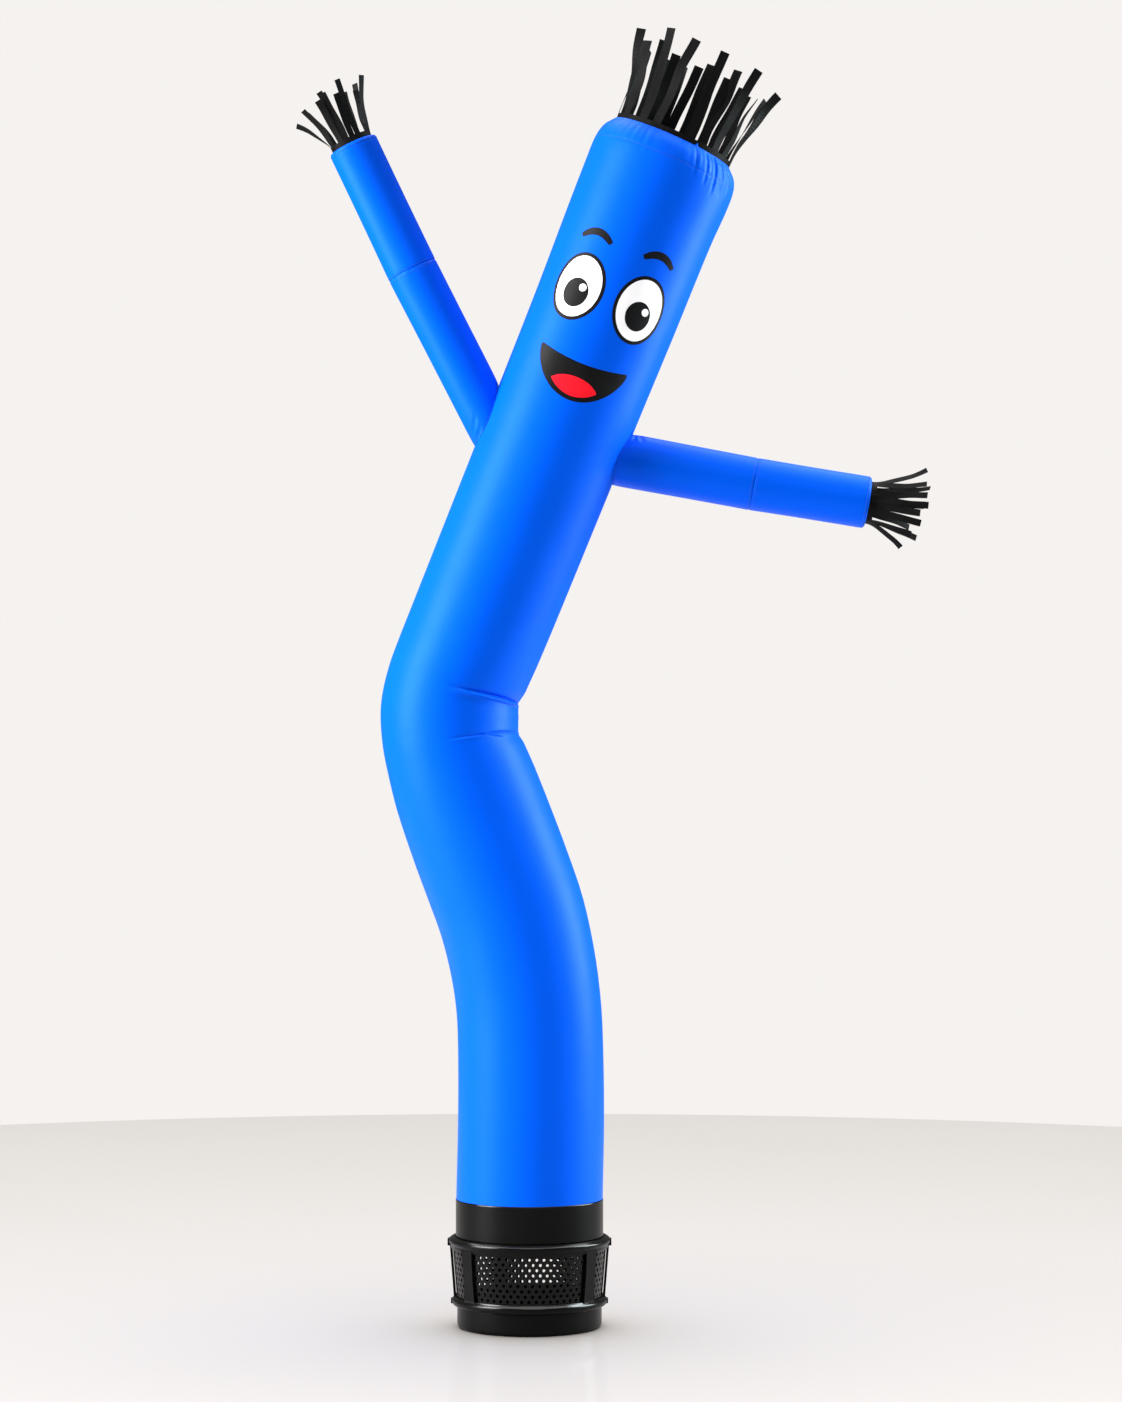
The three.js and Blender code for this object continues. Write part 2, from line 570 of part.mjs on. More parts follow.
// The perforated intake grille: a tapered sheet with staggered hexagonal holes. Webs between
// facing sides of neighbouring holes are quadrilaterals, and three webs meet in a triangle.
function grille() {
  const foot = WINDOW_BOTTOM + GAP;
  const top = WINDOW_TOP - GAP;
  const pitch = 2 * Math.PI / GRILLE_COLUMNS;
  const meanRadius = (GRILLE_TOP_RADIUS + GRILLE_FOOT_RADIUS) / 2;
  const flatPitch = pitch * meanRadius;
  const rowPitch = flatPitch * Math.sqrt(3) / 2;
  const middle = (foot + top) / 2;
  const positions = [];
  const index = [];

  // Adds the outer and inner points of a place on the sheet, and returns the outer one's number.
  function place(turn, height) {
    const share = (height - foot) / (top - foot);
    const radius = THREE.MathUtils.lerp(GRILLE_FOOT_RADIUS, GRILLE_TOP_RADIUS, share);
    for (const r of [radius, radius - GRILLE_WALL]) {
      positions.push(r * Math.cos(turn), r * Math.sin(turn), height);
    }
    return positions.length / 3 - 2;
  }
  // Adds a face seen from outside with its copy on the inner side, turned the other way.
  function face(a, b, c) {
    index.push(a, b, c, a + 1, c + 1, b + 1);
  }
  function edge(a, b) {
    index.push(a, a + 1, b + 1, a, b + 1, b);
  }

  const holes = [];
  for (let row = 0; row < GRILLE_ROWS; row += 1) {
    const height = middle + (row - (GRILLE_ROWS - 1) / 2) * rowPitch;
    holes.push(Array.from({ length: GRILLE_COLUMNS }, (_, column) => (
      [30, 90, 150, 210, 270, 330].map((corner) => place(
        (column + (row % 2) / 2 + HOLE_SHARE * Math.cos(radians(corner))) * pitch,
        height + HOLE_SHARE * flatPitch * Math.sin(radians(corner)),
      ))
    )));
  }
  const holeAt = (row, column) => holes[row][(column + GRILLE_COLUMNS) % GRILLE_COLUMNS];
  const rims = [foot, top].map((height, end) => Array.from({ length: GRILLE_COLUMNS }, (_, column) => (
    place((column + (end ? ((GRILLE_ROWS - 1) % 2) / 2 : 0)) * pitch, height)
  )));

  for (let row = 0; row < GRILLE_ROWS; row += 1) {
    for (let column = 0; column < GRILLE_COLUMNS; column += 1) {
      const hole = holeAt(row, column);
      const right = holeAt(row, column + 1);
      for (let corner = 0; corner < 6; corner += 1) {
        edge(hole[(corner + 1) % 6], hole[corner]);
      }
      face(hole[5], right[3], right[2]);
      face(hole[5], right[2], hole[0]);
      if (row < GRILLE_ROWS - 1) {
        const shift = row % 2;
        const upRight = holeAt(row + 1, column + shift);
        const upLeft = holeAt(row + 1, column + shift - 1);
        face(hole[0], upRight[4], upRight[3]);
        face(hole[0], upRight[3], hole[1]);
        face(hole[1], upLeft[5], upLeft[4]);
        face(hole[1], upLeft[4], hole[2]);
        face(hole[1], upRight[3], upLeft[5]);
        face(hole[0], right[2], upRight[4]);
      }
    }
  }
  for (let column = 0; column < GRILLE_COLUMNS; column += 1) {
    const next = (column + 1) % GRILLE_COLUMNS;
    const [low, lowNext] = [rims[0][column], rims[0][next]];
    const [first, firstRight] = [holeAt(0, column), holeAt(0, column + 1)];
    face(low, first[4], first[3]);
    face(low, first[5], first[4]);
    face(low, lowNext, firstRight[3]);
    face(low, firstRight[3], first[5]);
    edge(low, lowNext);
    const [high, highNext] = [rims[1][column], rims[1][next]];
    const [last, lastRight] = [holeAt(GRILLE_ROWS - 1, column), holeAt(GRILLE_ROWS - 1, column + 1)];
    face(high, last[2], last[1]);
    face(high, last[1], last[0]);
    face(high, last[0], highNext);
    face(highNext, last[0], lastRight[2]);
    edge(highNext, high);
  }
  const geometry = new THREE.BufferGeometry();
  geometry.setAttribute('position', new THREE.Float32BufferAttribute(positions, 3));
  geometry.setIndex(index);
  return toSolid(geometry);
}

// The drum that the blower stands on: a flat floor, a short wall and a lip inside the cage.
function drum() {
  const lip = CAGE_BORE - GAP;
  const inner = lip - DRUM_WALL;
  return turned([
    [0, 0],
    [DRUM_RADIUS - DRUM_EDGE, 0],
    [DRUM_RADIUS - DRUM_EDGE_MIDDLE, DRUM_EDGE_MIDDLE],
    [DRUM_RADIUS, DRUM_EDGE],
    [DRUM_RADIUS, CAGE_FOOT],
    [lip, CAGE_FOOT],
    [lip, DRUM_LIP_TOP],
    [inner, DRUM_LIP_TOP],
    [inner, DRUM_WALL],
    [0, DRUM_WALL],
  ]);
}

// ---- The part ----

const cutter = bodyCutter();
const group = new THREE.Group();

function addPiece(name, solid, material) {
  const mesh = new THREE.Mesh(toGeometry(solid), material);
  mesh.name = name;
  group.add(mesh);
}

addPiece('body', body(), CLOTH_BLUE);
addPiece('arm_left_upper', sleeve(upperSleeve(LEFT_ARM)).subtract(cutter), CLOTH_BLUE);
addPiece('arm_left_fore', sleeve(foreSleeve(LEFT_ARM)), CLOTH_BLUE);
addPiece('arm_right_upper', sleeve(upperSleeve(RIGHT_ARM)).subtract(cutter), CLOTH_BLUE);
addPiece('arm_right_fore', sleeve(foreSleeve(RIGHT_ARM)), CLOTH_BLUE);
addPiece('head_streamers', headStreamers(), STREAMER_BLACK);
addPiece('left_streamers', handStreamers(LEFT_ARM, LEFT_STREAMERS, LEFT_STRIP_WIDTH), STREAMER_BLACK);
addPiece('right_streamers', handStreamers(RIGHT_ARM, RIGHT_STREAMERS, RIGHT_STRIP_WIDTH), STREAMER_BLACK);
addPiece('blower_nozzle', nozzle(), PLASTIC_BLACK);
addPiece('blower_cage', cage(), PLASTIC_BLACK);
addPiece('blower_grille', grille(), PLASTIC_BLACK);
addPiece('blower_drum', drum(), PLASTIC_BLACK);

export default group;
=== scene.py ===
"""An inflatable air dancer on its blower base: cloth, ribbons, print and mouldings around the frame.

Lengths in the tables and shapes are millimetres in the frame's axes: +Z up, the dancer faces -Y,
and +X is on the right of a viewer in front. Only make_mesh turns them to metres. The settings, the
lights and the camera are in metres.
"""

import math

import bmesh
import bpy
import numpy as np
from bpy.props import FloatProperty, FloatVectorProperty, IntProperty, PointerProperty
from bpy.types import Operator, Panel, PropertyGroup
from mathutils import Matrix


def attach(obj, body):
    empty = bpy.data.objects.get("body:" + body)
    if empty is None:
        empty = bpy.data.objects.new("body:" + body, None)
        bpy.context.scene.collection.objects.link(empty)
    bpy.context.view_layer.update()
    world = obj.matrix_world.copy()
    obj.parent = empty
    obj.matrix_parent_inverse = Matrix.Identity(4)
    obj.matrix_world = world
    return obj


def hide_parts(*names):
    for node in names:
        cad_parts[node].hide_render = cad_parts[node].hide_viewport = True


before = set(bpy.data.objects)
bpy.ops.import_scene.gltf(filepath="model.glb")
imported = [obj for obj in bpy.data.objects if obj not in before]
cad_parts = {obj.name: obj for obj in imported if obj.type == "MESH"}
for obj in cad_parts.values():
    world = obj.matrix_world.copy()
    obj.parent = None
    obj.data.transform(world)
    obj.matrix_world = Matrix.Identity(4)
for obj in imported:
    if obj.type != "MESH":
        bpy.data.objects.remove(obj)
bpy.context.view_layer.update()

bl_info = {
    "name": "Inflatable air dancer",
    "version": (1, 0, 0),
    "blender": (4, 5, 0),
    "location": "3D View > Sidebar > Air dancer",
    "description": "Builds the cloth, ribbons, face print and blower base of an air dancer",
    "category": "Object",
}

MM = 0.001

# ---- Shape tables ----

# The body from foot to mouth: height, x, lean to the right in degrees, half width, half depth.
BODY_SECTIONS = np.array([
    (199.3, 0, 0, 114, 114),
    (330, 2.5, 0, 113.6, 113.6),
    (460, 1, -1, 112.8, 112.8),
    (520, -3.6, -4.5, 112.8, 112.8),
    (580, -13.4, -9.5, 113.4, 113),
    (640, -28, -15, 114.2, 113),
    (700, -49, -18.5, 114.6, 113),
    (760, -71.3, -19, 114.4, 113),
    (835, -98.5, -17, 112.4, 113),
    (880, -113, -12, 109, 113),
    (916, -122.9, -5.5, 106.3, 113),
    (957, -124, 5.4, 107.5, 113),
    (998, -117.8, 16, 104.8, 113),
    (1035, -101.6, 18.5, 107.4, 112.5),
    (1073, -85.6, 20.5, 108.2, 112),
    (1145, -56.3, 21.7, 109, 111),
    (1456, 68.9, 21.7, 111.3, 111.5),
    (1578, 118.1, 21.7, 112.7, 112.7),
    (1723, 175.1, 21.7, 114.8, 114.5),
    (1773, 196.2, 22, 116.4, 116),
    (1802, 207.7, 22.5, 116.4, 116),
    (1815, 212.9, 23, 114.2, 114),
    (1827, 217.6, 23.5, 108.8, 108.8),
    (1838.5, 222, 24, 98.2, 98.2),
])
FOOT = BODY_SECTIONS[0, 0]
MOUTH = BODY_SECTIONS[-1, 0]
CASING = 31.0  # depth of the stitched casing below the mouth's rim
CASING_END = -67.0  # angle at which the casing closes, in degrees from +X towards +Y
MOUTH_PART = 80.0  # the finer grid at the mouth starts this far below its rim
BODY_GIRTH = 716.0  # way around the body's cloth
# The mouth's hem, turned over a round edge: how far along the tube, how far inwards, and how much
# of the scrap at the casing's end each ring carries.
HEM_TURN = ((0.5, 0.4, 1), (0.7, 1.0, 1.3), (0.4, 1.6, 1), (-8, 1.9, 0))

# Creases at the inner side of the waist bend: height, depth of the groove and its width, and the
# height of the lip below and its width.
WAIST_CREASES = np.array([(916, 4.2, 1.8, 1.3, 2.6), (998, 7.6, 2.5, 4.4, 2.8)])
# Soft dents and rises around them, which keep the bend's outline in straight runs: height, depth.
WAIST_DENTS = np.array([(1016, -2.0, 12), (985, -1.0, 12), (930, -0.5, 8), (904, 1.4, 8)])
# Gathers at the mouth: angle from +X towards +Y, depth, length.
GATHERS = np.array([
    (-10, 2.5, 45), (-30, 3.5, 60), (-50, 4, 62), (-70, 3, 52), (-90, 0.8, 30),
    (-112, 1.6, 42), (-132, 1.8, 46), (-152, 1.4, 36), (170, 2, 35), (140, 3, 50),
    (120, 3.5, 55), (90, 2.5, 45), (60, 3, 55), (30, 3, 50),
])
# Sharp puckers between them: angle, depth, length, width in degrees.
PUCKERS = np.array([
    (-66, 1.7, 44, 1.5), (-60, 0.5, 26, 1.0), (-55, 2.3, 50, 1.3), (-50, 0.8, 30, 0.9),
    (-45.5, 2.5, 58, 1.5), (-41, 0.7, 44, 0.9), (-36, 2.3, 54, 1.3), (-32, 0.9, 34, 0.9),
    (-27, 1.9, 48, 1.4), (-21, 1.0, 40, 1.1), (-15, 1.7, 44, 1.7), (-5, 0.9, 34, 1.6),
    (-104, 0.3, 30, 1.5), (-111, 0.8, 44, 1.6), (-117, 0.4, 34, 1.1), (-123, 0.8, 42, 1.8),
    (-130, 0.5, 36, 1.4), (-137, 0.6, 40, 1.8), (-148, 0.4, 34, 1.9), (-160, 0.4, 30, 2.2),
])

# Arms: x and z of shoulder, elbow and wrist, each with the sleeve's radius, the rim's radius, and
# how far the folds beside the shoulder seam reach round, in degrees.
LEFT_ARM = {
    "shoulder": (-67.7, 1419, 39.3), "elbow": (-182.2, 1642.2, 39.9),
    "wrist": (-275.4, 1837.6, 39.3), "rim": 35.6, "folds": 45,
}
RIGHT_ARM = {
    "shoulder": (147.8, 1347.5, 43), "elbow": (348.5, 1310.2, 41.1),
    "wrist": (526.7, 1281.2, 40.6), "rim": 35.4, "folds": 22,
}
ARMS = (("left", LEFT_ARM, 11), ("right", RIGHT_ARM, 23))  # each with the seed of its puckers
SLEEVE_ROOT = 8.0  # how deep inside the body's outline a sleeve begins
SHOULDER_HOLE = 0.78  # radius of the body's hole at a shoulder, as a share of the sleeve's
AXIS_ROOT = 62.0  # how far before the shoulder an upper sleeve's axis begins
ELBOW_GAP = 0.15  # how far from the elbow's middle either length of a sleeve ends
UPPER_STITCH = 4.5  # distance of the top stitch from the elbow seam on the upper length
FORE_STITCH = 3.4  # and on the forearm's length
WRIST_ROUND = 8.0  # length over which a wrist rounds in to its rim
ROUND_ROWS = 12  # rings of that rounding
HEM_ROWS = 6  # rings of the hem inside a wrist
BAND_INSET = 3.2  # how far the middle of a streamers' band lies inside the cloth's outer face
BAND_STANDS = 2.5  # how far the band stands out of the rim
FRINGE_CUT = 9.0  # height above the rim at which the band is cut into ribbons
NEAR_TRIM = 0.07  # share by which the ribbons nearest to the viewer are shorter

# Streamers: angle around the rim, rise of the tip, its outward and sideways lean, and its turn.
HEAD_STREAMERS = np.array([
    (180, 143, 22, 0, 62), (211, 127, 14, -9, 30), (234.6, 159, 10, -13, 12),
    (249.7, 156, 10, 9, -6), (282.8, 156, 10, -3.3, 6), (314, 153, 14, 3.2, -14),
    (329, 112, 12, 3.8, 28), (352, 134, 25, 8, -55), (10, 112, 17, -3, 48), (25, 122, 18, -4, -50),
    (40, 120, 8, 8, 30), (54, 128, 12, -1.2, 10), (63, 150, 8, 1.8, -8), (67, 133, 6, 3.6, 14),
    (78, 136, 7, 9.5, 0), (87, 142, 8, 2.4, -10), (99, 132, 8, -2.3, -6),
    (108, 124, 9, 3, 18), (120.4, 134, 8, 2.6, -12), (126, 122, 9, 4, 10), (135, 144, 8, 10.4, -22),
    (148, 120, 12, 3, 26), (164, 130, 15, -2, -42),
])
LEFT_STREAMERS = np.array([
    (171, 62, 34, 3, 50), (207, 77, 22, 3, 30), (243, 81, 16, 2, 10), (261, 90, 12, -1, -10),
    (279, 79, 17, 3, 15), (297, 100, 13, 1, 0), (333, 72, 12, 2, -30), (351, 90, 27, 3, -50),
    (27, 84, 20, 4, 30), (63, 79, 15, -3, 10), (99, 95, 14, 4, -10), (135, 76, 24, 2, 20),
])
RIGHT_STREAMERS = np.array([
    (189, 80, 33, 3, 45), (207, 84, 17, 4, 30), (243, 89, 19, 0, 10), (261, 94, 13, -1, 0),
    (279, 82, 18, -2, 10), (297, 86, 12, 1, -10), (333, 72, 13, -2, -25), (351, 59, 29, 3, -45),
    (27, 80, 16, 4, 25), (63, 66, 18, -3, 0), (99, 82, 14, 5, -10), (135, 88, 22, 3, 20),
])

# The blower base, from the centre of its underside.
NOZZLE_PROFILE = np.array([
    (107, 141.3), (114.7, 141.3), (114.7, 199), (111, 199), (111, 232), (107, 232),
])
FLANGE_PROFILE = np.array([
    (108, 123), (122.6, 123), (123.4, 130.2), (125.6, 131.6), (125.6, 136.8), (122.8, 139),
    (119, 141), (108, 141),
])
RING_PROFILE = np.array([
    (108, 34.3), (117.4, 34.3), (120.6, 37.4), (120.6, 43.6), (117.4, 47), (116.4, 49), (108, 49),
])
DRUM_PROFILE = np.array([
    (0, 0), (112.4, 0), (112.4, 34), (107.7, 34), (107.7, 45), (103.7, 45), (103.7, 4), (0, 4),
])
# Rims rubbed to a shine: lowest and highest radius, lowest and highest height.
RUBBED = ((112.0, 116.0, 196.5, 200), (118.5, 126, 136.2, 141.5), (115, 121, 43.2, 49.5))
WINDOW = (49.3, 122.7)  # the grille's foot and top
GRILLE_RADII = (113.2, 119.0)  # its outer radius at either
GRILLE_WALL = 2.6  # thickness of its sheet
POST_ANGLES = (38.5, 0, -38.5, 141.5, 180, -141.5)
POST_RADII = (117.6, 123.3)  # a post's outer radius at its foot and its top
# Small lugs at the cage's sides: angle, outer radius, foot, top.
LUGS = ((0, 127.4, 126, 137), (180, 127.4, 126, 137), (0, 122.2, 36, 44), (180, 122.2, 36, 44))


# ---- Settings ----


def colour_setting(name, description, default):
    """A colour that the user can change, as sRGB."""
    return FloatVectorProperty(name=name, description=f"{description}, as sRGB", default=default,
                               subtype="COLOR_GAMMA", size=3, min=0, max=1)


def length_setting(name, description, default, low, high):
    """A length that the user can change, in metres."""
    return FloatProperty(name=name, description=description, default=default, min=low, max=high,
                         precision=4, unit="LENGTH")


def count_setting(name, description, default, low, high):
    """A number of rows or columns that the user can change."""
    return IntProperty(name=name, description=description, default=default, min=low, max=high)


def light_setting(name, description, default, high, unit="NONE"):
    """A light's power in watts, or its strength, that the user can change."""
    return FloatProperty(name=name, description=description, default=default, min=0, max=high,
                         unit=unit)


class AIRDANCER_PG_cloth(PropertyGroup):
    """The nylon of the body and the sleeves, with its seams."""

    blue: colour_setting("Nylon", "Dyed colour of the cloth", (0.0, 0.338, 0.9))
    thickness: length_setting("Cloth thickness", "Thickness of the shown cloth, hem included",
                              0.0008, 0.0001, 0.002)
    stitch: length_setting("Stitch length", "Spacing of the stitches in every seam",
                           0.0034, 0.002, 0.008)
    columns: count_setting("Columns", "Mesh columns around the body", 190, 72, 200)
    mouth_columns: count_setting("Mouth columns", "Mesh columns around the gathered mouth",
                                 440, 144, 460)


class AIRDANCER_PG_face(PropertyGroup):
    """The printed face."""

    white: colour_setting("White ink", "Colour of the eyes", (0.95, 0.94, 0.95))
    black: colour_setting("Black ink", "Colour of outlines, brows and pupils", (0.05, 0.05, 0.055))
    red: colour_setting("Red ink", "Colour of the tongue", (0.93, 0.08, 0.15))
    height: length_setting("Height", "Height of the face's middle on the body's axis",
                           1.552, 1.4, 1.7)


class AIRDANCER_PG_ribbon(PropertyGroup):
    """The streamers at the head and the hands."""

    black: colour_setting("Ribbon", "Colour of the ribbon", (0.036, 0.035, 0.035))
    head_width: length_setting("Head width", "Width of a head streamer", 0.0152, 0.005, 0.03)
    left_width: length_setting("Left width", "Width of a streamer of the raised hand",
                               0.0098, 0.004, 0.02)
    right_width: length_setting("Right width", "Width of a streamer of the level hand",
                                0.0108, 0.004, 0.02)
    thickness: length_setting("Ribbon thickness", "Thickness of the ribbon",
                              0.0007, 0.0002, 0.002)


class AIRDANCER_PG_base(PropertyGroup):
    """The blower base."""

    black: colour_setting("Moulding", "Colour of the housing", (0.025, 0.025, 0.025))
    holes_around: count_setting("Holes around", "Holes in one row of the grille", 64, 24, 90)
    hole_rows: count_setting("Rows of holes", "Rows of holes up the grille", 9, 3, 12)
    hole: length_setting("Hole", "Diameter of a hole in the grille", 0.0054, 0.003, 0.009)


class AIRDANCER_PG_studio(PropertyGroup):
    """Lights, floor and camera."""

    key: light_setting("Key light", "Power of the large soft box on the left",
                       315.0, 2000, "POWER")
    rim: light_setting("Rim light", "Power of the soft box on the right", 250.0, 2000, "POWER")
    front: light_setting("Front light", "Power of the weak soft box above the camera",
                         25.0, 2000, "POWER")
    overhead: light_setting("Ceiling", "Strength of the broad even light from straight above",
                            4.7, 20)
    pale: colour_setting("Floor and backdrop", "Colour of the floor and the backdrop",
                         (0.962, 0.95, 0.94))
    ambient: light_setting("Ambient", "Strength of the even light from all around", 0.12, 5)


# ---- Meshes ----


def circle(count):
    """This many angles, evenly once around from 0, in radians."""
    return np.linspace(0, 2 * np.pi, count, endpoint=False)


def unit(vectors):
    """Vectors divided by their lengths."""
    return vectors / np.linalg.norm(vectors, axis=-1, keepdims=True)


def bell(off, wide):
    """A Gaussian: exp(-(off / wide)^2)."""
    return np.exp(-(off / wide) ** 2)


def graded(*stops):
    """Places in even runs: each stop gives where a run starts and how many steps it has, and the
    last stop is where all ends."""
    runs = [np.linspace(start, end, steps, endpoint=False)
            for (start, steps), (end, _) in zip(stops, stops[1:])]
    return np.concatenate([*runs, [stops[-1][0]]])


def run_along(path, least=0.0):
    """The length passed at each point of a path; each step counts this much more."""
    steps = np.linalg.norm(np.diff(path, axis=0), axis=-1) + least
    return np.concatenate([[0], np.cumsum(steps)])


def rounded_corner(a, corner, b, steps):
    """The curve (1-t)^2 A + 2t(1-t) P + t^2 B from A to B around a corner P."""
    t = np.linspace(0, 1, steps)[:, None]
    return (1 - t) ** 2 * a + 2 * t * (1 - t) * corner + t ** 2 * b


def make_mesh(name, points, faces, uv=None):
    """An object from points (n, 3) in millimetres, faces (m, corners) and one uv a face corner."""
    mesh = bpy.data.meshes.new(name)
    faces = np.asarray(faces)
    points = np.asarray(points, float)
    corners = faces.shape[1]
    mesh.vertices.add(len(points))
    mesh.vertices.foreach_set("co", (points * MM).astype(np.float32).ravel())
    mesh.loops.add(faces.size)
    mesh.loops.foreach_set("vertex_index", faces.astype(np.int32).ravel())
    mesh.polygons.add(len(faces))
    mesh.polygons.foreach_set("loop_start", np.arange(0, faces.size, corners, dtype=np.int32))
    mesh.update(calc_edges=True)
    if uv is not None:
        layer = mesh.uv_layers.new(name="cloth")
        layer.data.foreach_set("uv", (np.asarray(uv) * MM).astype(np.float32).ravel())
    mesh.validate()
    mesh.shade_smooth()
    crisp_borders(mesh)
    made = bpy.data.objects.new(name, mesh)
    bpy.context.scene.collection.objects.link(made)
    return made


def crisp_borders(mesh):
    """Marks the edges of one face as sharp, so that a rim's narrow wall doesn't tilt the shading
    of the cloth beside it."""
    edge = np.empty(len(mesh.loops), np.int32)
    mesh.loops.foreach_get("edge_index", edge)
    border = np.bincount(edge, minlength=len(mesh.edges)) == 1
    sharp = mesh.attributes.get("sharp_edge")
    layer = sharp or mesh.attributes.new("sharp_edge", "BOOLEAN", "EDGE")
    layer.data.foreach_set("value", border)


def grid_faces(rows, columns, around=True, over=False):
    """Quads of a grid of points: around closes its columns on themselves, over its rows."""
    low = np.arange(rows if over else rows - 1)[:, None]
    left = np.arange(columns if around else columns - 1)[None, :]
    high, right = (low + 1) % rows, (left + 1) % columns
    corners = (low * columns + left, low * columns + right,
               high * columns + right, high * columns + left)
    return np.stack(np.broadcast_arrays(*corners), axis=-1).reshape(-1, 4)


def grid_uv(across, up):
    """One uv for each corner of grid_faces' quads, from the uvs of columns + 1 by rows points."""
    u, v = np.broadcast_arrays(across, up)
    here = np.stack([u, v], axis=-1)
    corners = (here[:-1, :-1], here[:-1, 1:], here[1:, 1:], here[1:, :-1])
    return np.stack(corners, axis=2).reshape(-1, 2)


def joined(parts):
    """Several (points, faces) as one: faces are shifted by the number of points before them."""
    shifts = np.cumsum([0] + [len(p) for p, _ in parts])[:-1]
    return (np.concatenate([p for p, _ in parts]),
            np.concatenate([f + s for (_, f), s in zip(parts, shifts)]))


def thicken(piece, thickness):
    """Gives an outward-facing surface its cloth thickness on the inner side."""
    solid = piece.modifiers.new("thickness", "SOLIDIFY")
    solid.thickness = thickness
    solid.offset = -1
    solid.use_quality_normals = False


def filleted(profile, radius, steps=5):
    """A closed profile with each corner rounded between the points a fillet away on its two
    sides. Corners on the axis stay sharp."""
    before, after = np.roll(profile, 1, axis=0), np.roll(profile, -1, axis=0)
    rows = []
    for corner, low, high in zip(profile, before, after):
        if corner[0] == 0:
            rows.append(corner[None])
            continue
        a, b = (corner + unit(end - corner) * min(radius, 0.4 * np.linalg.norm(end - corner))
                for end in (low, high))
        # One more point on each flat side keeps its shading flat up to the rounding.
        rows.append(corner + 1.15 * (a - corner)[None])
        rows.append(rounded_corner(a, corner, b, steps))
        rows.append(corner + 1.15 * (b - corner)[None])
    return np.concatenate(rows)


def lathed(profile, around=192):
    """A closed (radius, height) profile turned about Z: x = r cos a, y = r sin a, z = height.
    A profile that ends on the axis stays open there and closes in a fan of thin quads."""
    angle = circle(around)
    r, z = profile[:, :1], profile[:, 1:]
    points = np.stack([r * np.cos(angle), r * np.sin(angle), z + 0 * angle], axis=-1)
    return points.reshape(-1, 3), grid_faces(len(profile), around, over=profile[0, 0] > 0)


# ---- The body's surface ----


def section_at(height):
    """x, lean (radians), wide and deep of the body's section at each height: cubic Hermite
    curves through the table's rows, where a row's slope is the line between its neighbours."""
    rows = BODY_SECTIONS
    height = np.asarray(height, float)
    z = rows[:, 0]
    low = np.clip(np.searchsorted(z, height, side="right") - 1, 0, len(z) - 2)
    high = low + 1
    before, after = np.maximum(low - 1, 0), np.minimum(low + 2, len(z) - 1)
    span = z[high] - z[low]
    t = ((height - z[low]) / span)[..., None]
    slope_low = (rows[high] - rows[before]) * (span / (z[high] - z[before]))[..., None]
    slope_high = (rows[after] - rows[low]) * (span / (z[after] - z[low]))[..., None]
    got = ((2 * t ** 3 - 3 * t ** 2 + 1) * rows[low] + (t ** 3 - 2 * t ** 2 + t) * slope_low
           + (3 * t ** 2 - 2 * t ** 3) * rows[high] + (t ** 3 - t ** 2) * slope_high)
    return got[..., 1], np.radians(got[..., 2]), got[..., 3], got[..., 4]


def wrapped(angle):
    """An angle in radians brought to -pi..pi."""
    return np.arctan2(np.sin(angle), np.cos(angle))


def back_puckers():
    """Seeded small puckers all around, and more of them at the back: angle, depth, length,
    width in degrees."""
    rng = np.random.default_rng(7)
    angle = np.concatenate([rng.uniform(-180, 180, 26), rng.uniform(15, 170, 26)])
    depth = np.concatenate([rng.uniform(0.15, 0.4, 26), rng.uniform(0.5, 1.7, 26)])
    return np.stack([angle, depth, rng.uniform(22, 48, 52), rng.uniform(1.1, 2.2, 52)], axis=1)


def smooth_step(low, high, value):
    """0 below low, 1 above high, and 3 t^2 - 2 t^3 between them."""
    t = np.clip((value - low) / (high - low), 0, 1)
    return t * t * (3 - 2 * t)


def waist_folds(height, angle):
    """The waist's creases. Each is a groove, depth * exp(-|off| / width), with a round lip, a bell
    of the offset + 2.2 widths, below it. Both fade out at the front, are softer behind, and
    shallow at the inmost side, where the bend has two corners and a straight run between."""
    turn = np.degrees(np.abs(wrapped(angle)))
    reach = smooth_step(97, 62, turn) * (1 - 0.8 * bell(turn, 15))
    reach = reach * (1 - 0.35 * smooth_step(10, 60, np.degrees(wrapped(angle))))
    depth = 0
    for line, deep, wide, lip, soft in WAIST_CREASES:
        # The creases wander a little on their way.
        off = height - line - 1.8 * np.sin(turn / 17 + line)
        uneven = 0.85 + 0.15 * np.sin(turn / 6)
        depth = depth + deep * reach * uneven * np.exp(-np.abs(off) / wide)
        depth = depth - lip * reach * bell(off + 2.2 * wide, soft)
    # The lower crease splits in two at 62 degrees, and its branch falls away by 11 mm.
    lower, upper = WAIST_CREASES[:, 0]
    fork = height - lower - 1.8 * np.sin(turn / 17 + lower) + 0.55 * (62 - turn)
    split = smooth_step(36, 44, turn) * smooth_step(64, 58, turn)
    depth = depth + split * (1.5 * np.exp(-np.abs(fork) / 1.6) - bell(fork - 3.6, 2.2))
    # A shallow hollow lies below the upper crease's lip.
    depth = depth + 1.3 * bell(turn - 72, 16) * bell(height - upper + 17, 7)
    for line, deep, soft in WAIST_DENTS:
        depth = depth + deep * bell(turn, 42) * bell(height - line, soft)
    return depth


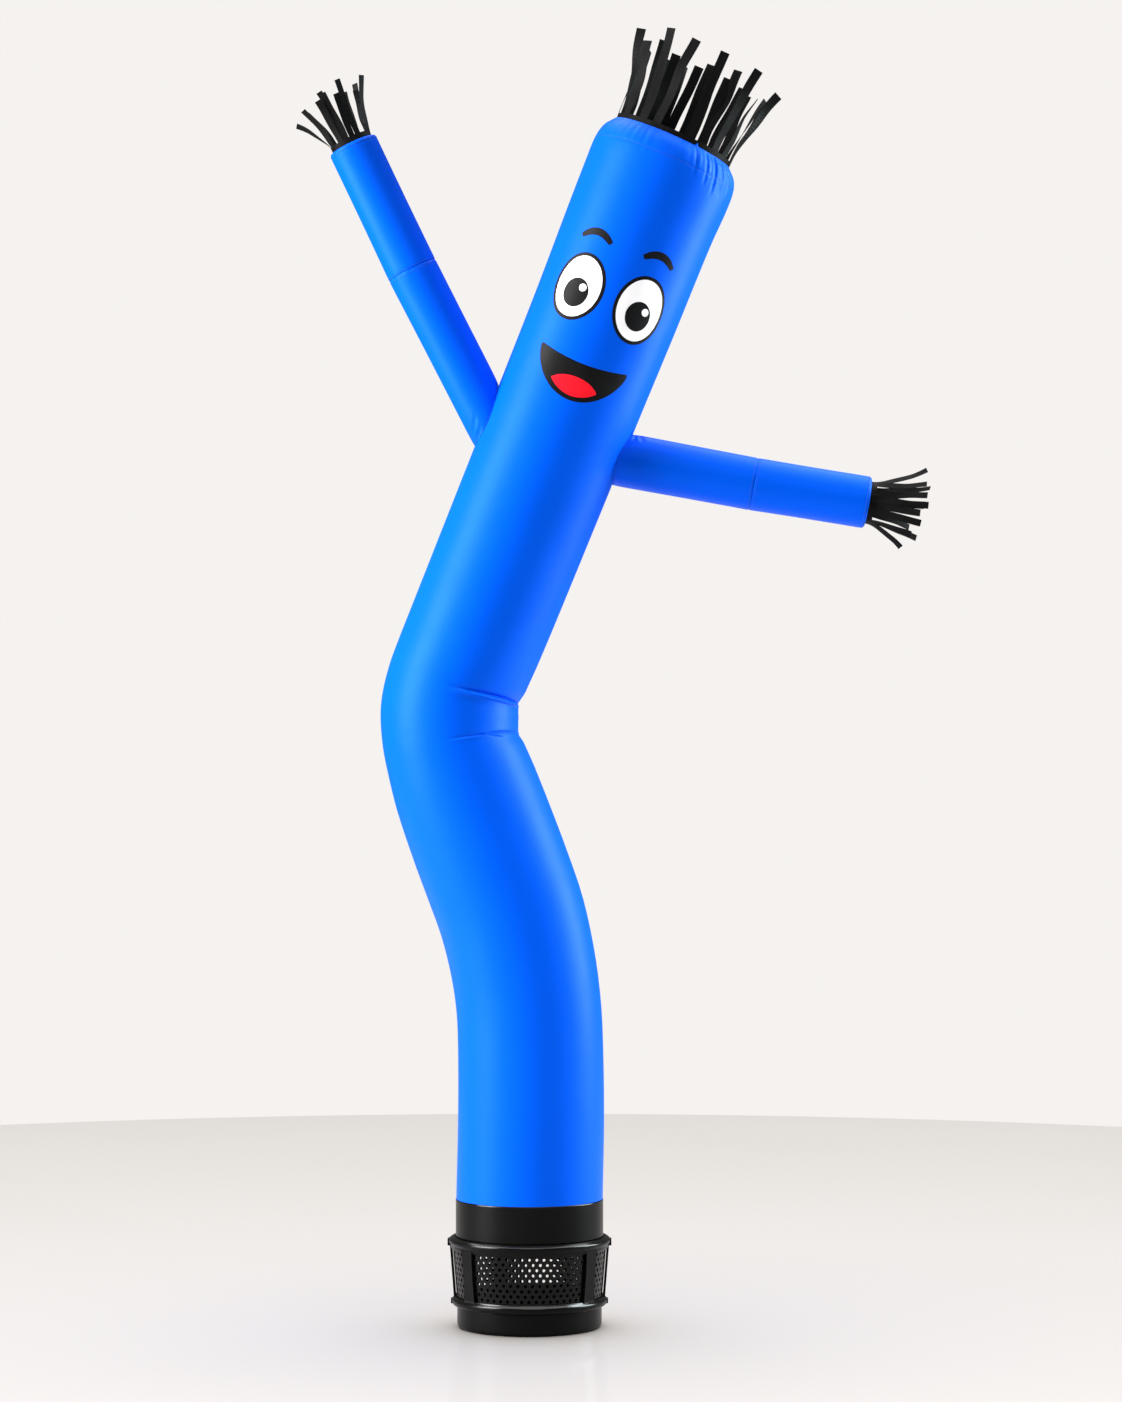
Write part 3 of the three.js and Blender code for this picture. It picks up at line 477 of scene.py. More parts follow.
def mouth_folds(height, angle):
    """The mouth's gathers and puckers. Each is depth * rise * a bell of the angle, where rise goes
    from 1 at the rim to 0 at its end. A groove of 0.5 mm marks the casing's seam."""
    from_rim = MOUTH - height
    depth = 0.5 * bell(from_rim - CASING, 1.6)
    for at, deep, long in GATHERS:
        off = wrapped(angle - np.radians(at)) / np.radians(10)
        depth = depth + 0.4 * deep * np.clip(1 - from_rim / long, 0, 1) * np.exp(-3 * off ** 2)
    for at, deep, long, wide in np.concatenate([PUCKERS, back_puckers()]):
        off = wrapped(angle - np.radians(at + 0.05 * (from_rim - 20))) / np.radians(wide)
        rise = np.clip(1 - from_rim / long, 0, 1) ** 0.7 * smooth_step(-2, 9, from_rim)
        # The casing's seam holds each pucker flat for a moment where it crosses.
        held = 1 - 0.7 * bell(from_rim - CASING, 2.5)
        depth = depth + deep * rise * held * (bell(off, 1) - 0.35 * bell(off - 2, 1))
    return depth


def fold_depth(height, angle):
    """How far folds draw the cloth in: the waist's creases, the mouth's gathers and the shallow
    groove of the casing's seam."""
    height, angle = np.broadcast_arrays(height, angle)
    depth = np.zeros(height.shape)
    waist = (height > 850) & (height < 1080)
    depth[waist] += waist_folds(height[waist], angle[waist])
    mouth = height > MOUTH - 90
    depth[mouth] += mouth_folds(height[mouth], angle[mouth])
    return depth


def on_body(height, angle, inset=0.0):
    """Points of the body's cloth: centre + across (wide - in) cos a + y (deep - in) sin a, with
    across = (cos lean, 0, -sin lean) and in = inset + the folds' depth."""
    height, angle = np.broadcast_arrays(np.asarray(height, float), np.asarray(angle, float))
    height, angle = np.atleast_1d(height), np.atleast_1d(angle)
    x, lean, wide, deep = section_at(height)
    drawn = inset + fold_depth(height, angle)
    side = (wide - drawn) * np.cos(angle)
    return np.stack([x + side * np.cos(lean), (deep - drawn) * np.sin(angle),
                     height - side * np.sin(lean)], axis=-1)


def body_height_of(points):
    """The height of the section in whose plane each point lies, by repeated projection: the
    distance from the plane along the tube is added until it vanishes."""
    height = points[..., 2].copy()
    for _ in range(12):
        x, lean, _, _ = section_at(height)
        off = (points[..., 0] - x) * np.sin(lean) + (points[..., 2] - height) * np.cos(lean)
        height = np.clip(height + off * np.cos(lean), FOOT, MOUTH)
    return height


def outside_body(points):
    """How far each point stands outside the body's outline, in its own section's plane."""
    height = body_height_of(points)
    x, lean, wide, deep = section_at(height)
    side = (points[..., 0] - x) * np.cos(lean) - (points[..., 2] - height) * np.sin(lean)
    return np.hypot(side / wide, points[..., 1] / deep) * wide - wide


def rim_frame(x, z, lean):
    """Centre, across and along of a rim, as vectors."""
    across = np.array([math.cos(lean), 0, -math.sin(lean)])
    along = np.array([math.sin(lean), 0, math.cos(lean)])
    return np.array([x, 0, z]), across, along


# ---- Materials ----


def linear(srgb):
    """An sRGB colour, as '#rrggbb' or three numbers from 0 to 1, as linear RGBA."""
    if isinstance(srgb, str):
        srgb = [int(srgb[i:i + 2], 16) / 255 for i in (1, 3, 5)]
    c = np.array(srgb, float)
    c = np.where(c <= 0.04045, c / 12.92, ((c + 0.055) / 1.055) ** 2.4)
    return (*c.tolist(), 1.0)


def add_node(tree, kind, inputs=None, **settings):
    """A new node with its settings; each input takes a value, or the socket linked to it."""
    made = tree.nodes.new(kind)
    for key, value in settings.items():
        setattr(made, key, value)
    for key, value in (inputs or {}).items():
        if isinstance(value, bpy.types.NodeSocket):
            tree.links.new(value, made.inputs[key])
        else:
            made.inputs[key].default_value = value
    return made


def new_material(name):
    """An empty material, its tree, and the outputs of its texture coordinates."""
    made = bpy.data.materials.new(name)
    made.use_nodes = True
    made.node_tree.nodes.clear()
    return made, made.node_tree, add_node(made.node_tree, "ShaderNodeTexCoord").outputs


def finish_material(made, constants, tint=None, gloss=None, relief=()):
    """Gives a material its shader, with these constants. A tint (mask, low, high) mixes two
    colours, a gloss (mask, low, high) is a roughness between two values, and each relief (height,
    strength, distance) is a bump laid on the one before. Masks and heights are sockets."""
    tree = made.node_tree
    inputs = dict(constants)
    if tint:
        mask, low, high = tint
        mixed = add_node(tree, "ShaderNodeMix", {0: mask, 6: low, 7: high},
                         data_type="RGBA")
        inputs["Base Color"] = mixed.outputs[2]
    if gloss:
        mask, low, high = gloss
        ranged = add_node(tree, "ShaderNodeMapRange",
                          {"Value": mask, "To Min": low, "To Max": high})
        inputs["Roughness"] = ranged.outputs["Result"]
    for height, strength, distance in relief:
        bump = {"Height": height, "Strength": strength, "Distance": distance}
        if "Normal" in inputs:
            bump["Normal"] = inputs["Normal"]
        inputs["Normal"] = add_node(tree, "ShaderNodeBump", bump).outputs["Normal"]
    shader = add_node(tree, "ShaderNodeBsdfPrincipled", inputs)
    add_node(tree, "ShaderNodeOutputMaterial", {"Surface": shader.outputs["BSDF"]})
    return made


def shade(srgb, share, lift=0.0):
    """A colour as linear RGBA, each channel times share plus lift, up to 1."""
    return [min(c * share + lift, 1) for c in linear(srgb)[:3]] + [1.0]


def wave_scale(spacing_mm):
    """The scale at which a Wave texture's bands lie this far apart: 2 pi / (20 spacing)."""
    return 2 * math.pi / (20 * spacing_mm * MM)


def nylon_taffeta(name, blue):
    """Dyed nylon taffeta, calendered on the face: a tight plain weave with a satin gloss, taut
    under pressure but with faint soft unevenness, and a little deeper in colour where that
    unevenness lies low, which is painted shade.
    Light that comes back through the top threads is dyed too, so part of the gloss is blue, which
    a small metallic share gives."""
    made, tree, place = new_material(name)
    # Real threads lie 0.25 mm apart; they are drawn every 1.1 mm so that they show.
    threads = [add_node(tree, "ShaderNodeTexWave",
                        {"Vector": place["UV"], "Scale": wave_scale(1.1), "Distortion": 0.4,
                         "Detail": 1.0, "Detail Scale": 0.6},
                        wave_type="BANDS", bands_direction=way, wave_profile="SIN")
               for way in ("X", "Y")]
    weave = add_node(tree, "ShaderNodeMath", {k: threads[k].outputs["Fac"] for k in (0, 1)},
                     operation="MULTIPLY").outputs["Value"]
    billow_and_painted_shade = add_node(tree, "ShaderNodeTexNoise", {"Vector": place["Object"], "Scale": 9.0,
                                                   "Detail": 2.0, "Roughness": 0.45}).outputs["Fac"]
    crumple = add_node(tree, "ShaderNodeTexNoise", {"Vector": place["Object"], "Scale": 38.0,
                                                    "Detail": 3.0, "Roughness": 0.5}).outputs["Fac"]
    # Painted shade: the colour is 7% deeper where the soft unevenness's bump lies low.
    return finish_material(
        made, {"IOR": 1.53, "Metallic": 0.04, "Specular IOR Level": 0.068,
               "Specular Tint": linear("#a9e2ff")},
        tint=(billow_and_painted_shade, shade(blue, 0.93), linear(blue)), gloss=(crumple, 0.36, 0.46),
        relief=((billow_and_painted_shade, 0.35, 0.0035), (crumple, 0.25, 0.0006), (weave, 0.12, 0.0001)))


def screen_ink(name, colour):
    """Solvent ink screen printed on nylon: an even film with a soft gloss that lets the weave
    show as a faint tooth."""
    made, tree, place = new_material(name)
    # The tooth follows the threads' real spacing of 0.25 mm, drawn at 1.2 mm so that it shows.
    tooth = add_node(tree, "ShaderNodeTexNoise",
                     {"Vector": place["Object"], "Scale": 1 / (1.2 * MM), "Detail": 2.0}).outputs["Fac"]
    film = add_node(tree, "ShaderNodeTexNoise",
                    {"Vector": place["Object"], "Scale": 40.0, "Detail": 2.0}).outputs["Fac"]
    return finish_material(
        made, {"Roughness": 0.42, "IOR": 1.5, "Specular IOR Level": 0.08},
        tint=(film, linear(colour), shade(colour, 1.12, 0.004)), relief=((tooth, 0.1, 0.0002),))


def woven_ribbon(name, black):
    """Black polyester ribbon, woven and hot cut: its long floats vary its roughness in long
    stripes, and a painted sheen lightens its colour along the same stripes."""
    made, tree, place = new_material(name)
    # Warp threads lie 0.3 mm apart; they are drawn every 1.2 mm so that they show.
    warp = add_node(tree, "ShaderNodeTexWave",
                    {"Vector": place["UV"], "Scale": wave_scale(1.2), "Distortion": 0.8,
                     "Detail": 2.0},
                    wave_type="BANDS", bands_direction="X", wave_profile="SIN").outputs["Fac"]
    stretch = add_node(tree, "ShaderNodeMapping",
                       {"Vector": place["UV"], "Scale": (160.0, 18.0, 1.0)})
    painted_sheen_and_gloss_streak = add_node(tree, "ShaderNodeTexNoise",
                      {"Vector": stretch.outputs["Vector"], "Scale": 1.0, "Detail": 3.0}).outputs["Fac"]
    # Painted sheen: the colour is up to 1.9 times lighter along the stripes, whose roughness varies
    # too.
    return finish_material(
        made, {"IOR": 1.5, "Specular IOR Level": 0.038},
        tint=(painted_sheen_and_gloss_streak, linear(black), shade(black, 1.9, 0.003)), gloss=(painted_sheen_and_gloss_streak, 0.38, 0.62),
        relief=((warp, 0.25, 0.0002),))


def polyester_thread(name, colour):
    """Spun polyester sewing thread: a twisted, slightly fuzzy cord a touch deeper in colour than
    the cloth, partly as its own dye and partly as painted shade for each stitch's small shadow."""
    made, tree, place = new_material(name)
    # One twist of the thread is 0.6 mm long.
    twist = add_node(tree, "ShaderNodeTexNoise",
                     {"Vector": place["Object"], "Scale": 1 / (0.6 * MM), "Detail": 1.0}).outputs["Fac"]
    return finish_material(made, {"Roughness": 0.6, "IOR": 1.5},
                           tint=(twist, shade(colour, 0.7), linear(colour)))


def moulded_abs(name, black, gloss=0.31, level=0.09):
    """Injection moulded ABS, satin: a very fine spark-eroded grain with long soft reflections,
    and faint handling marks that change its gloss. A rim that is rubbed smooth has a lower
    roughness and a higher specular level."""
    made, tree, place = new_material(name)
    # The mould's grain is about 0.5 mm; it is drawn at 0.9 mm so that it shows.
    grain = add_node(tree, "ShaderNodeTexNoise",
                     {"Vector": place["Object"], "Scale": 1 / (0.9 * MM), "Detail": 2.0}).outputs["Fac"]
    handled = add_node(tree, "ShaderNodeTexNoise",
                       {"Vector": place["Object"], "Scale": 22.0, "Detail": 4.0}).outputs["Fac"]
    return finish_material(
        made, {"IOR": 1.54, "Specular IOR Level": level},
        tint=(handled, linear(black), shade(black, 1.35)),
        gloss=(handled, gloss - 0.04, gloss + 0.05), relief=((grain, 0.08, 0.0002),))


def moulded_grille(name, black):
    """Moulded perforated nylon sheet, black: a little smoother than the housing, and uneven from
    the sink marks between its holes."""
    made, tree, place = new_material(name)
    # Sink marks between holes are about 3 mm across.
    sink = add_node(tree, "ShaderNodeTexNoise",
                    {"Vector": place["Object"], "Scale": 1 / (3.0 * MM), "Detail": 2.0}).outputs["Fac"]
    return finish_material(
        made, {"Base Color": linear(black), "IOR": 1.53, "Specular IOR Level": 0.14},
        gloss=(sink, 0.2, 0.34), relief=((sink, 0.3, 0.0008),))


def studio_vinyl(name, pale):
    """Pale studio vinyl, smooth but weak in gloss, so that a foot shows as a faint reflection."""
    made, tree, place = new_material(name)
    cloud = add_node(tree, "ShaderNodeTexNoise",
                     {"Vector": place["Object"], "Scale": 1.5, "Detail": 2.0}).outputs["Fac"]
    return finish_material(made, {"Base Color": linear(pale), "IOR": 1.3},
                           gloss=(cloud, 0.07, 0.11))


def shared(name, make, colour, *values):
    """The material of that name, made on its first use."""
    return bpy.data.materials.get(name) or make(name, tuple(colour), *values)


def finish_piece(piece, material, slot, *nodes):
    """Gives a piece its material and its body, and hides the solids' nodes it stands for. Its slot is
    not used.
    """
    piece.data.materials.append(material)
    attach(piece, "root")
    if nodes:
        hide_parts(*nodes)
    return piece


# ---- Body and sleeves ----


def front_dense(columns, share=0.25, middle=-90.0):
    """Angles around a tube, closer together on one side: a = s - share sin(s - middle), where s
    goes evenly round and the spacing is least at the middle, given in degrees."""
    even = circle(columns)
    return even - share * np.sin(even - math.radians(middle))


def body_heights():
    """Section heights below the mouth part: close together at the foot hem and the creases."""
    (low, *_), (high, *_) = WAIST_CREASES
    return graded((FOOT, 12), (FOOT + 30, 32), (878, 6), (low - 13, 20), (low + 9, 14),
                  (high - 13, 20), (high + 9, 10), (1050, 31), (MOUTH - MOUTH_PART, 1))


def mouth_heights():
    """Section heights of the mouth part: close together at the casing's seam and the rim."""
    return MOUTH - graded((MOUTH_PART, 13), (CASING + 5, 8), (CASING - 5, 14), (3, 4), (0, 1))


def sleeve_leans(arm):
    """Lean of the upper arm, of the forearm and of the elbow seam between them, in radians."""
    shoulder, elbow, wrist = (np.array(arm[k][:2]) for k in ("shoulder", "elbow", "wrist"))
    upper = math.atan2(*(elbow - shoulder))
    fore = math.atan2(*(wrist - elbow))
    return upper, fore, (upper + fore) / 2


def heading(lean):
    """The way (x, z) that an axis leans: (sin lean, cos lean)."""
    return np.array([math.sin(lean), math.cos(lean)])


def ring_points(x, z, lean, radius, angle):
    """Points of rings across an axis: (x + r cos a cos lean, r sin a, z - r cos a sin lean)."""
    side = radius * np.cos(angle)
    return np.stack(np.broadcast_arrays(x + side * np.cos(lean), radius * np.sin(angle),
                                        z - side * np.sin(lean)), axis=-1)


def seam_puckers(columns, seed, waves=17):
    """A seeded gentle unevenness around a seam, from -1 to 1: a sum of a few sines of the angle."""
    rng = np.random.default_rng(seed)
    a = circle(columns)
    terms = [np.sin(k * a + rng.uniform(0, 6.3)) * rng.uniform(0.3, 1) for k in range(5, waves)]
    total = np.sum(terms, axis=0)
    return total / np.abs(total).max()


def seam_folds(from_seam, stitched, columns, seed):
    """How far an elbow seam draws the cloth in at a distance d: 1.1 exp(-d / 0.9) for its groove,
    0.35 mm in a bell under its top stitch, and seeded puckers of 0.5 exp(-d / 9)."""
    return (1.1 * np.exp(-from_seam / 0.9) + 0.35 * bell(from_seam - stitched, 1.0)
            + 0.5 * seam_puckers(columns, seed) * np.exp(-from_seam / 9))


def upper_run(arm, share):
    """x, z, lean and radius of the upper sleeve at a share of its axis, which runs from inside the
    body to the elbow seam, and the axis's length. Each goes evenly from end to end, and the
    middle is drawn in by 0.4 mm, as 1.6 s (1 - s)."""
    upper, _, seam = sleeve_leans(arm)
    start = np.array(arm["shoulder"][:2]) - AXIS_ROOT * heading(upper)
    end = np.array(arm["elbow"][:2]) - ELBOW_GAP * heading(seam)
    x, z = (start[k] + (end[k] - start[k]) * share for k in (0, 1))
    radius = arm["shoulder"][2] + (arm["elbow"][2] - arm["shoulder"][2]) * share
    radius = radius - 1.6 * share * (1 - share)
    return x, z, upper + (seam - upper) * share, radius, np.linalg.norm(end - start)


def upper_sleeve_points(arm, seed, columns=112, rows=64):
    """The upper sleeve: each column runs from where its line leaves the body to the elbow seam.
    A column's root share is found on a fine scale of shares by the change of sign of the
    distance outside the body. Also gives each point's distance from the elbow seam."""
    angle = circle(columns)[None, :]
    probe = np.linspace(0, 1, 700)
    x, z, lean, r, _ = upper_run(arm, probe[:, None])
    out = outside_body(ring_points(x, z, lean, r, angle)) > -SLEEVE_ROOT
    root = probe[out.argmax(axis=0)][None, :]
    t = np.linspace(0, 1, rows)[:, None]
    share = root + (1 - root) * (0.5 * t + 0.5 * (1 - np.cos(np.pi * t)) / 2)
    x, z, lean, r, length = upper_run(arm, share)
    from_seam = (1 - share) * length
    from_root = (share - root) * length
    r = r - seam_folds(from_seam, UPPER_STITCH, columns, seed)
    gathered = 2.4 + 1.2 * seam_puckers(columns, seed + 1)
    r = r - gathered * np.exp(-np.clip(from_root - 5, 0, None) / 8)
    # Two folds run beside the shoulder seam and meet it at the far corner, at 180 degrees.
    off = 180 - np.degrees(np.abs(wrapped(angle)))
    held = smooth_step(4, 20, off) * smooth_step(arm["folds"] + 30, arm["folds"], off)
    for near, spread in ((11.5, 0.12), (15.0, 0.34)):
        r = r - 2.9 * held * bell(from_root - near - spread * off, 2.4)
    return ring_points(x, z, lean, r, angle), from_seam


def fore_sleeve_points(arm, seed, columns=112):
    """The forearm sleeve: a straight run from the elbow seam, then a rounding of
    r = rim + (wrist - rim) sqrt(1 - s^3) over the last 8 mm, and a hem turned 12 mm inside. Also
    gives each ring's length along the cloth."""
    _, fore, seam = sleeve_leans(arm)
    step = heading(fore)
    start = np.array(arm["elbow"][:2]) + ELBOW_GAP * heading(seam)
    length = np.linalg.norm(np.array(arm["wrist"][:2]) - WRIST_ROUND * step - start)
    run = length * graded((0, 9), (0.06, 22), (0.9, 9), (1, 1))
    rounding = WRIST_ROUND * np.linspace(0.12, 1, ROUND_ROWS) ** 0.75
    hem = np.linspace(0.4, 12, HEM_ROWS)
    along = np.concatenate([run, length + rounding, length + WRIST_ROUND - hem * 0.999])
    share = np.minimum(along / length, 1)
    radius = arm["elbow"][2] + (arm["wrist"][2] - arm["elbow"][2]) * share
    radius = radius - 1.6 * share * (1 - share)
    s = np.clip((along - length) / WRIST_ROUND, 0, 1)
    curve = arm["rim"] + (arm["wrist"][2] - arm["rim"]) * np.sqrt(1 - s ** 3)
    radius = np.where(along > length, curve, radius)
    outer = np.arange(len(along)) < len(along) - HEM_ROWS
    r = np.where(outer, radius, arm["rim"] - 1.4)[:, None]
    lean = (seam + (fore - seam) * np.minimum(share * 4, 1))[:, None]
    x, z = ((start[k] + along * step[k])[:, None] for k in (0, 1))
    from_hem = (length - along)[:, None]
    outer = outer[:, None]
    r = r - seam_folds(along[:, None], FORE_STITCH, columns, seed)
    r = r - outer * 0.45 * bell(from_hem + 1.5, 1.0)
    r = r - outer * 0.3 * seam_puckers(columns, seed + 2, 24) * np.exp(-np.abs(from_hem + 1) / 5)
    points = ring_points(x, z, lean, r, circle(columns)[None, :])
    return points, run_along(points.mean(axis=1), 1e-3)


def cloth_grid(points, around_mm, up):
    """Points, faces and uvs of rings of cloth: u is the way around in millimetres, v is up, the
    length along the cloth at each point or ring."""
    rows, columns, _ = points.shape
    across = np.linspace(0, around_mm, columns + 1)[None, :]
    up = np.broadcast_to(up, (rows, columns))
    up = np.concatenate([up, up[:, :1]], axis=1)
    return points.reshape(-1, 3), grid_faces(rows, columns), grid_uv(across, up)


class AIRDANCER_OT_body(Operator):
    """Make the body's cloth tube with its waist creases, gathered mouth and turned hems"""

    bl_idname = "airdancer.body"
    bl_label = "Body cloth"

    def execute(self, context):
        cloth = context.scene.dancer_cloth
        lower = on_body(body_heights()[:, None], front_dense(cloth.columns)[None, :])
        # The gathers are sharpest at the front right, so the columns are closest there.
        angle = front_dense(cloth.mouth_columns, 0.45, -60.0)
        upper = on_body(mouth_heights()[:, None], angle[None, :])
        rim = upper[-1]
        _, _, along = rim_frame(0, 0, float(section_at(MOUTH)[1]))
        inward = unit(rim.mean(axis=0) - rim)
        # A scrap of the hem's edge stands up where the casing closes.
        scrap = 3.6 * bell(wrapped(angle - math.radians(CASING_END)), 0.022)
        # The hem turns over a round edge and runs back down inside.
        hem = np.stack([rim + along * (lift + stands * scrap[:, None]) + inward * back
                        for lift, back, stands in HEM_TURN])
        grids = [cloth_grid(part, BODY_GIRTH, run_along(part[:, 0])[:, None])
                 for part in (lower, np.concatenate([upper, hem]))]
        # The cloth's length goes on from one part to the next.
        grids[1][2][:, 1] += grids[0][2][:, 1].max()
        points, faces = joined([grid[:2] for grid in grids])
        piece = make_mesh("body_cloth", points, faces, np.concatenate([g[2] for g in grids]))
        open_shoulders(piece.data)
        thicken(piece, cloth.thickness)
        nylon = shared("dyed_nylon_taffeta", nylon_taffeta, cloth.blue)
        finish_piece(piece, nylon, "blue_nylon", "body")
        return {"FINISHED"}


def face_middles(mesh):
    """The middle of each face of a mesh, in millimetres."""
    middles = np.empty(len(mesh.polygons) * 3, np.float32)
    mesh.polygons.foreach_get("center", middles)
    return middles.reshape(-1, 3) / MM


def open_shoulders(mesh):
    """Takes out the cloth inside each sleeve's bore: every face whose middle lies nearer to the
    upper arm's axis than SHOULDER_HOLE of its radius, on the arm's side of the body."""
    middles = face_middles(mesh)
    cut = np.zeros(len(middles), bool)
    for _, arm, _ in ARMS:
        lean, _, _ = sleeve_leans(arm)
        axis = np.array([math.sin(lean), 0, math.cos(lean)])
        off = middles - np.array([arm["shoulder"][0], 0, arm["shoulder"][1]])
        run = off @ axis
        away = np.linalg.norm(off - run[:, None] * axis, axis=1)
        cut |= (away < SHOULDER_HOLE * arm["shoulder"][2]) & (run > -AXIS_ROOT)
    shell = bmesh.new()
    shell.from_mesh(mesh)
    shell.faces.ensure_lookup_table()
    bmesh.ops.delete(shell, geom=[shell.faces[i] for i in np.flatnonzero(cut)], context="FACES")
    shell.to_mesh(mesh)
    shell.free()


class AIRDANCER_OT_sleeves(Operator):
    """Make the two sleeves, each in two lengths of cloth that meet in an elbow seam"""

    bl_idname = "airdancer.sleeves"
    bl_label = "Sleeves"

    def execute(self, context):
        cloth = context.scene.dancer_cloth
        nylon = shared("dyed_nylon_taffeta", nylon_taffeta, cloth.blue)
        for side, arm, seed in ARMS:
            around = 2 * np.pi * arm["elbow"][2]
            upper, from_seam = upper_sleeve_points(arm, seed)
            fore, up = fore_sleeve_points(arm, seed)
            for part, node, points, lengths in (
                    ("upper", "upper", upper, from_seam.max() - from_seam),
                    ("forearm", "fore", fore, up[:, None])):
                piece = make_mesh(f"{side}_{part}_sleeve", *cloth_grid(points, around, lengths))
                thicken(piece, cloth.thickness)
                finish_piece(piece, nylon, "blue_nylon", f"arm_{side}_{node}")
        return {"FINISHED"}


# ---- Stitching ----


def stitch_row(line, centre, stitch):
    """Points and faces of the stitches along a closed line around a centre: each is a small
    lozenge, 0.72 of the spacing long, whose section (five sides) swells from one end to the
    other and stands out of the cloth by half a millimetre."""
    path = np.concatenate([line, line[:1]])
    run = run_along(path)
    count = max(int(round(run[-1] / stitch)), 3)
    middle = (np.arange(count) + 0.5) * run[-1] / count
    place, ahead, out = (
        np.stack([np.interp(at, run, values[:, k]) for k in range(3)], axis=1)
        for at, values in ((middle, path), (middle + 0.3, path), (middle, path - centre)))
    out = unit(out)
    forward = unit(ahead - place)
    side = np.cross(out, forward)
    s = np.array([0.0, 0.25, 0.5, 0.75, 1.0])
    swell = np.array([0.25, 0.85, 1.0, 0.85, 0.25])[:, None]
    turn = circle(5)
    along = (s - 0.5) * 0.72 * run[-1] / count
    wide, high = 0.42 * swell * np.cos(turn), 0.12 + 0.45 * swell * np.sin(turn)
    ring = (place[:, None, None] + forward[:, None, None] * along[None, :, None, None]
            + side[:, None, None] * wide[None, :, :, None]
            + out[:, None, None] * high[None, :, :, None])
    shifts = (np.arange(count) * len(s) * len(turn))[:, None, None]
    return ring.reshape(-1, 3), (grid_faces(len(s), len(turn))[None] + shifts).reshape(-1, 4)


def sleeve_ring(points, clear):
    """The ring of a sleeve's points that stands clear of the body by this distance, read on a
    straight line between the two rows around it."""
    out = outside_body(points)
    above = np.maximum((out > clear).argmax(axis=0), 1)
    column = np.arange(points.shape[1])
    low, high = out[above - 1, column], out[above, column]
    share = ((clear - low) / (high - low))[:, None]
    return points[above - 1, column] * (1 - share) + points[above, column] * share


class AIRDANCER_OT_stitching(Operator):
    """Sew the visible rows of stitches: mouth casing, shoulders, elbows and wrists"""

    bl_idname = "airdancer.stitching"
    bl_label = "Stitching"

    def execute(self, context):
        cloth = context.scene.dancer_cloth
        casing = MOUTH - CASING
        centre = np.array([float(section_at(casing)[0]), 0, float(casing)])
        rows = {"body": [(on_body(casing, circle(360)), centre)]}
        for side, arm, seed in ARMS:
            upper, from_seam = upper_sleeve_points(arm, seed)
            fore, up = fore_sleeve_points(arm, seed)
            elbow = int(np.abs(from_seam[:, 0] - UPPER_STITCH).argmin())
            rings = {"upper": (sleeve_ring(upper, 1.2), upper[elbow]),
                     "forearm": (fore[int(np.abs(up - FORE_STITCH).argmin())],
                                 fore[2 - ROUND_ROWS - HEM_ROWS])}
            for part, pair in rings.items():
                rows[f"{side}_{part}"] = [(ring, ring.mean(axis=0)) for ring in pair]
        # The thread is 7% deeper than the cloth: partly its dye, partly painted shade at the seams.
        thread = shared("spun_polyester_thread", polyester_thread,
                        [c * 0.93 for c in cloth.blue])
        for name, lines in rows.items():
            parts = [stitch_row(line, middle, cloth.stitch / MM) for line, middle in lines]
            finish_piece(make_mesh(f"{name}_stitching", *joined(parts)), thread, "blue_nylon")
        return {"FINISHED"}


# ---- The face print ----


def face_to_body(across, up, lift, middle):
    """Points on the front of the body from places on the flat print: up runs along the tube from
    the face's middle, and across runs around it as an arc length, angle = -90 + across / radius."""
    _, lean, wide, deep = section_at(middle)
    height = middle + up * np.cos(lean)
    angle = -np.pi / 2 + across / ((wide + deep) / 2)
    return on_body(height, angle, -lift)


def ellipse(width, height, count=72):
    """A closed outline: x = w/2 cos t, y = h/2 sin t."""
    t = circle(count)
    return np.stack([width / 2 * np.cos(t), height / 2 * np.sin(t)], axis=1)


def ink_edge(line, lift, middle):
    """The thin side wall of a patch of ink, from its edge line down to the cloth."""
    walls = [face_to_body(line[:, 0], line[:, 1], h, middle) for h in (0.02, lift)]
    return np.concatenate(walls), grid_faces(2, len(line))


def printed(outline, lift, middle, rings=10):
    """A patch of ink inside a closed outline: rings shrink from the outline to its middle as
    middle + s (outline - middle), and the whole is laid on the body, with a side wall."""
    centre = outline.mean(axis=0)
    s = np.linspace(1, 0.02, rings)[:, None, None]
    flat = centre + s * (outline[None] - centre)
    points = face_to_body(flat[..., 0], flat[..., 1], lift, middle)
    count = len(outline)
    points = points.reshape(-1, 3)
    hub = points[-count:].mean(axis=0, keepdims=True)
    last, i = (rings - 1) * count, np.arange(count)
    centres = np.full(count, len(points))
    fan = np.stack([last + i, last + (i + 1) % count, centres, centres], axis=1)
    top = (np.concatenate([points, hub]), np.concatenate([grid_faces(rings, count), fan]))
    return joined([top, ink_edge(outline, lift, middle)])


def band_patch(low, high, lift, middle, rows=14):
    """A patch between two lines of as many points, low and high, laid on the body, with a side
    wall all round."""
    s = np.linspace(0, 1, rows)[:, None, None]
    flat = low[None] + s * (high - low)[None]
    points = face_to_body(flat[..., 0], flat[..., 1], lift, middle)
    top = (points.reshape(-1, 3), grid_faces(rows, len(low), around=False))
    return joined([top, ink_edge(np.concatenate([low, high[::-1]]), lift, middle)])


def triangles_of(faces):
    """Quads as triangles, without those that have no area."""
    tri = np.concatenate([faces[:, [0, 1, 2]], faces[:, [0, 2, 3]]])
    keep = (tri[:, 0] != tri[:, 1]) & (tri[:, 1] != tri[:, 2]) & (tri[:, 2] != tri[:, 0])
    return tri[keep]


def arc_line(points, count=48):
    """A smooth line through a few points: each coordinate is a polynomial of the share of the
    points passed, one degree below their number."""
    points = np.asarray(points, float)
    knots = np.linspace(0, 1, len(points))
    t = np.linspace(0, 1, count)
    return np.stack([np.polyval(np.polyfit(knots, points[:, k], len(points) - 1), t)
                     for k in (0, 1)], axis=1)


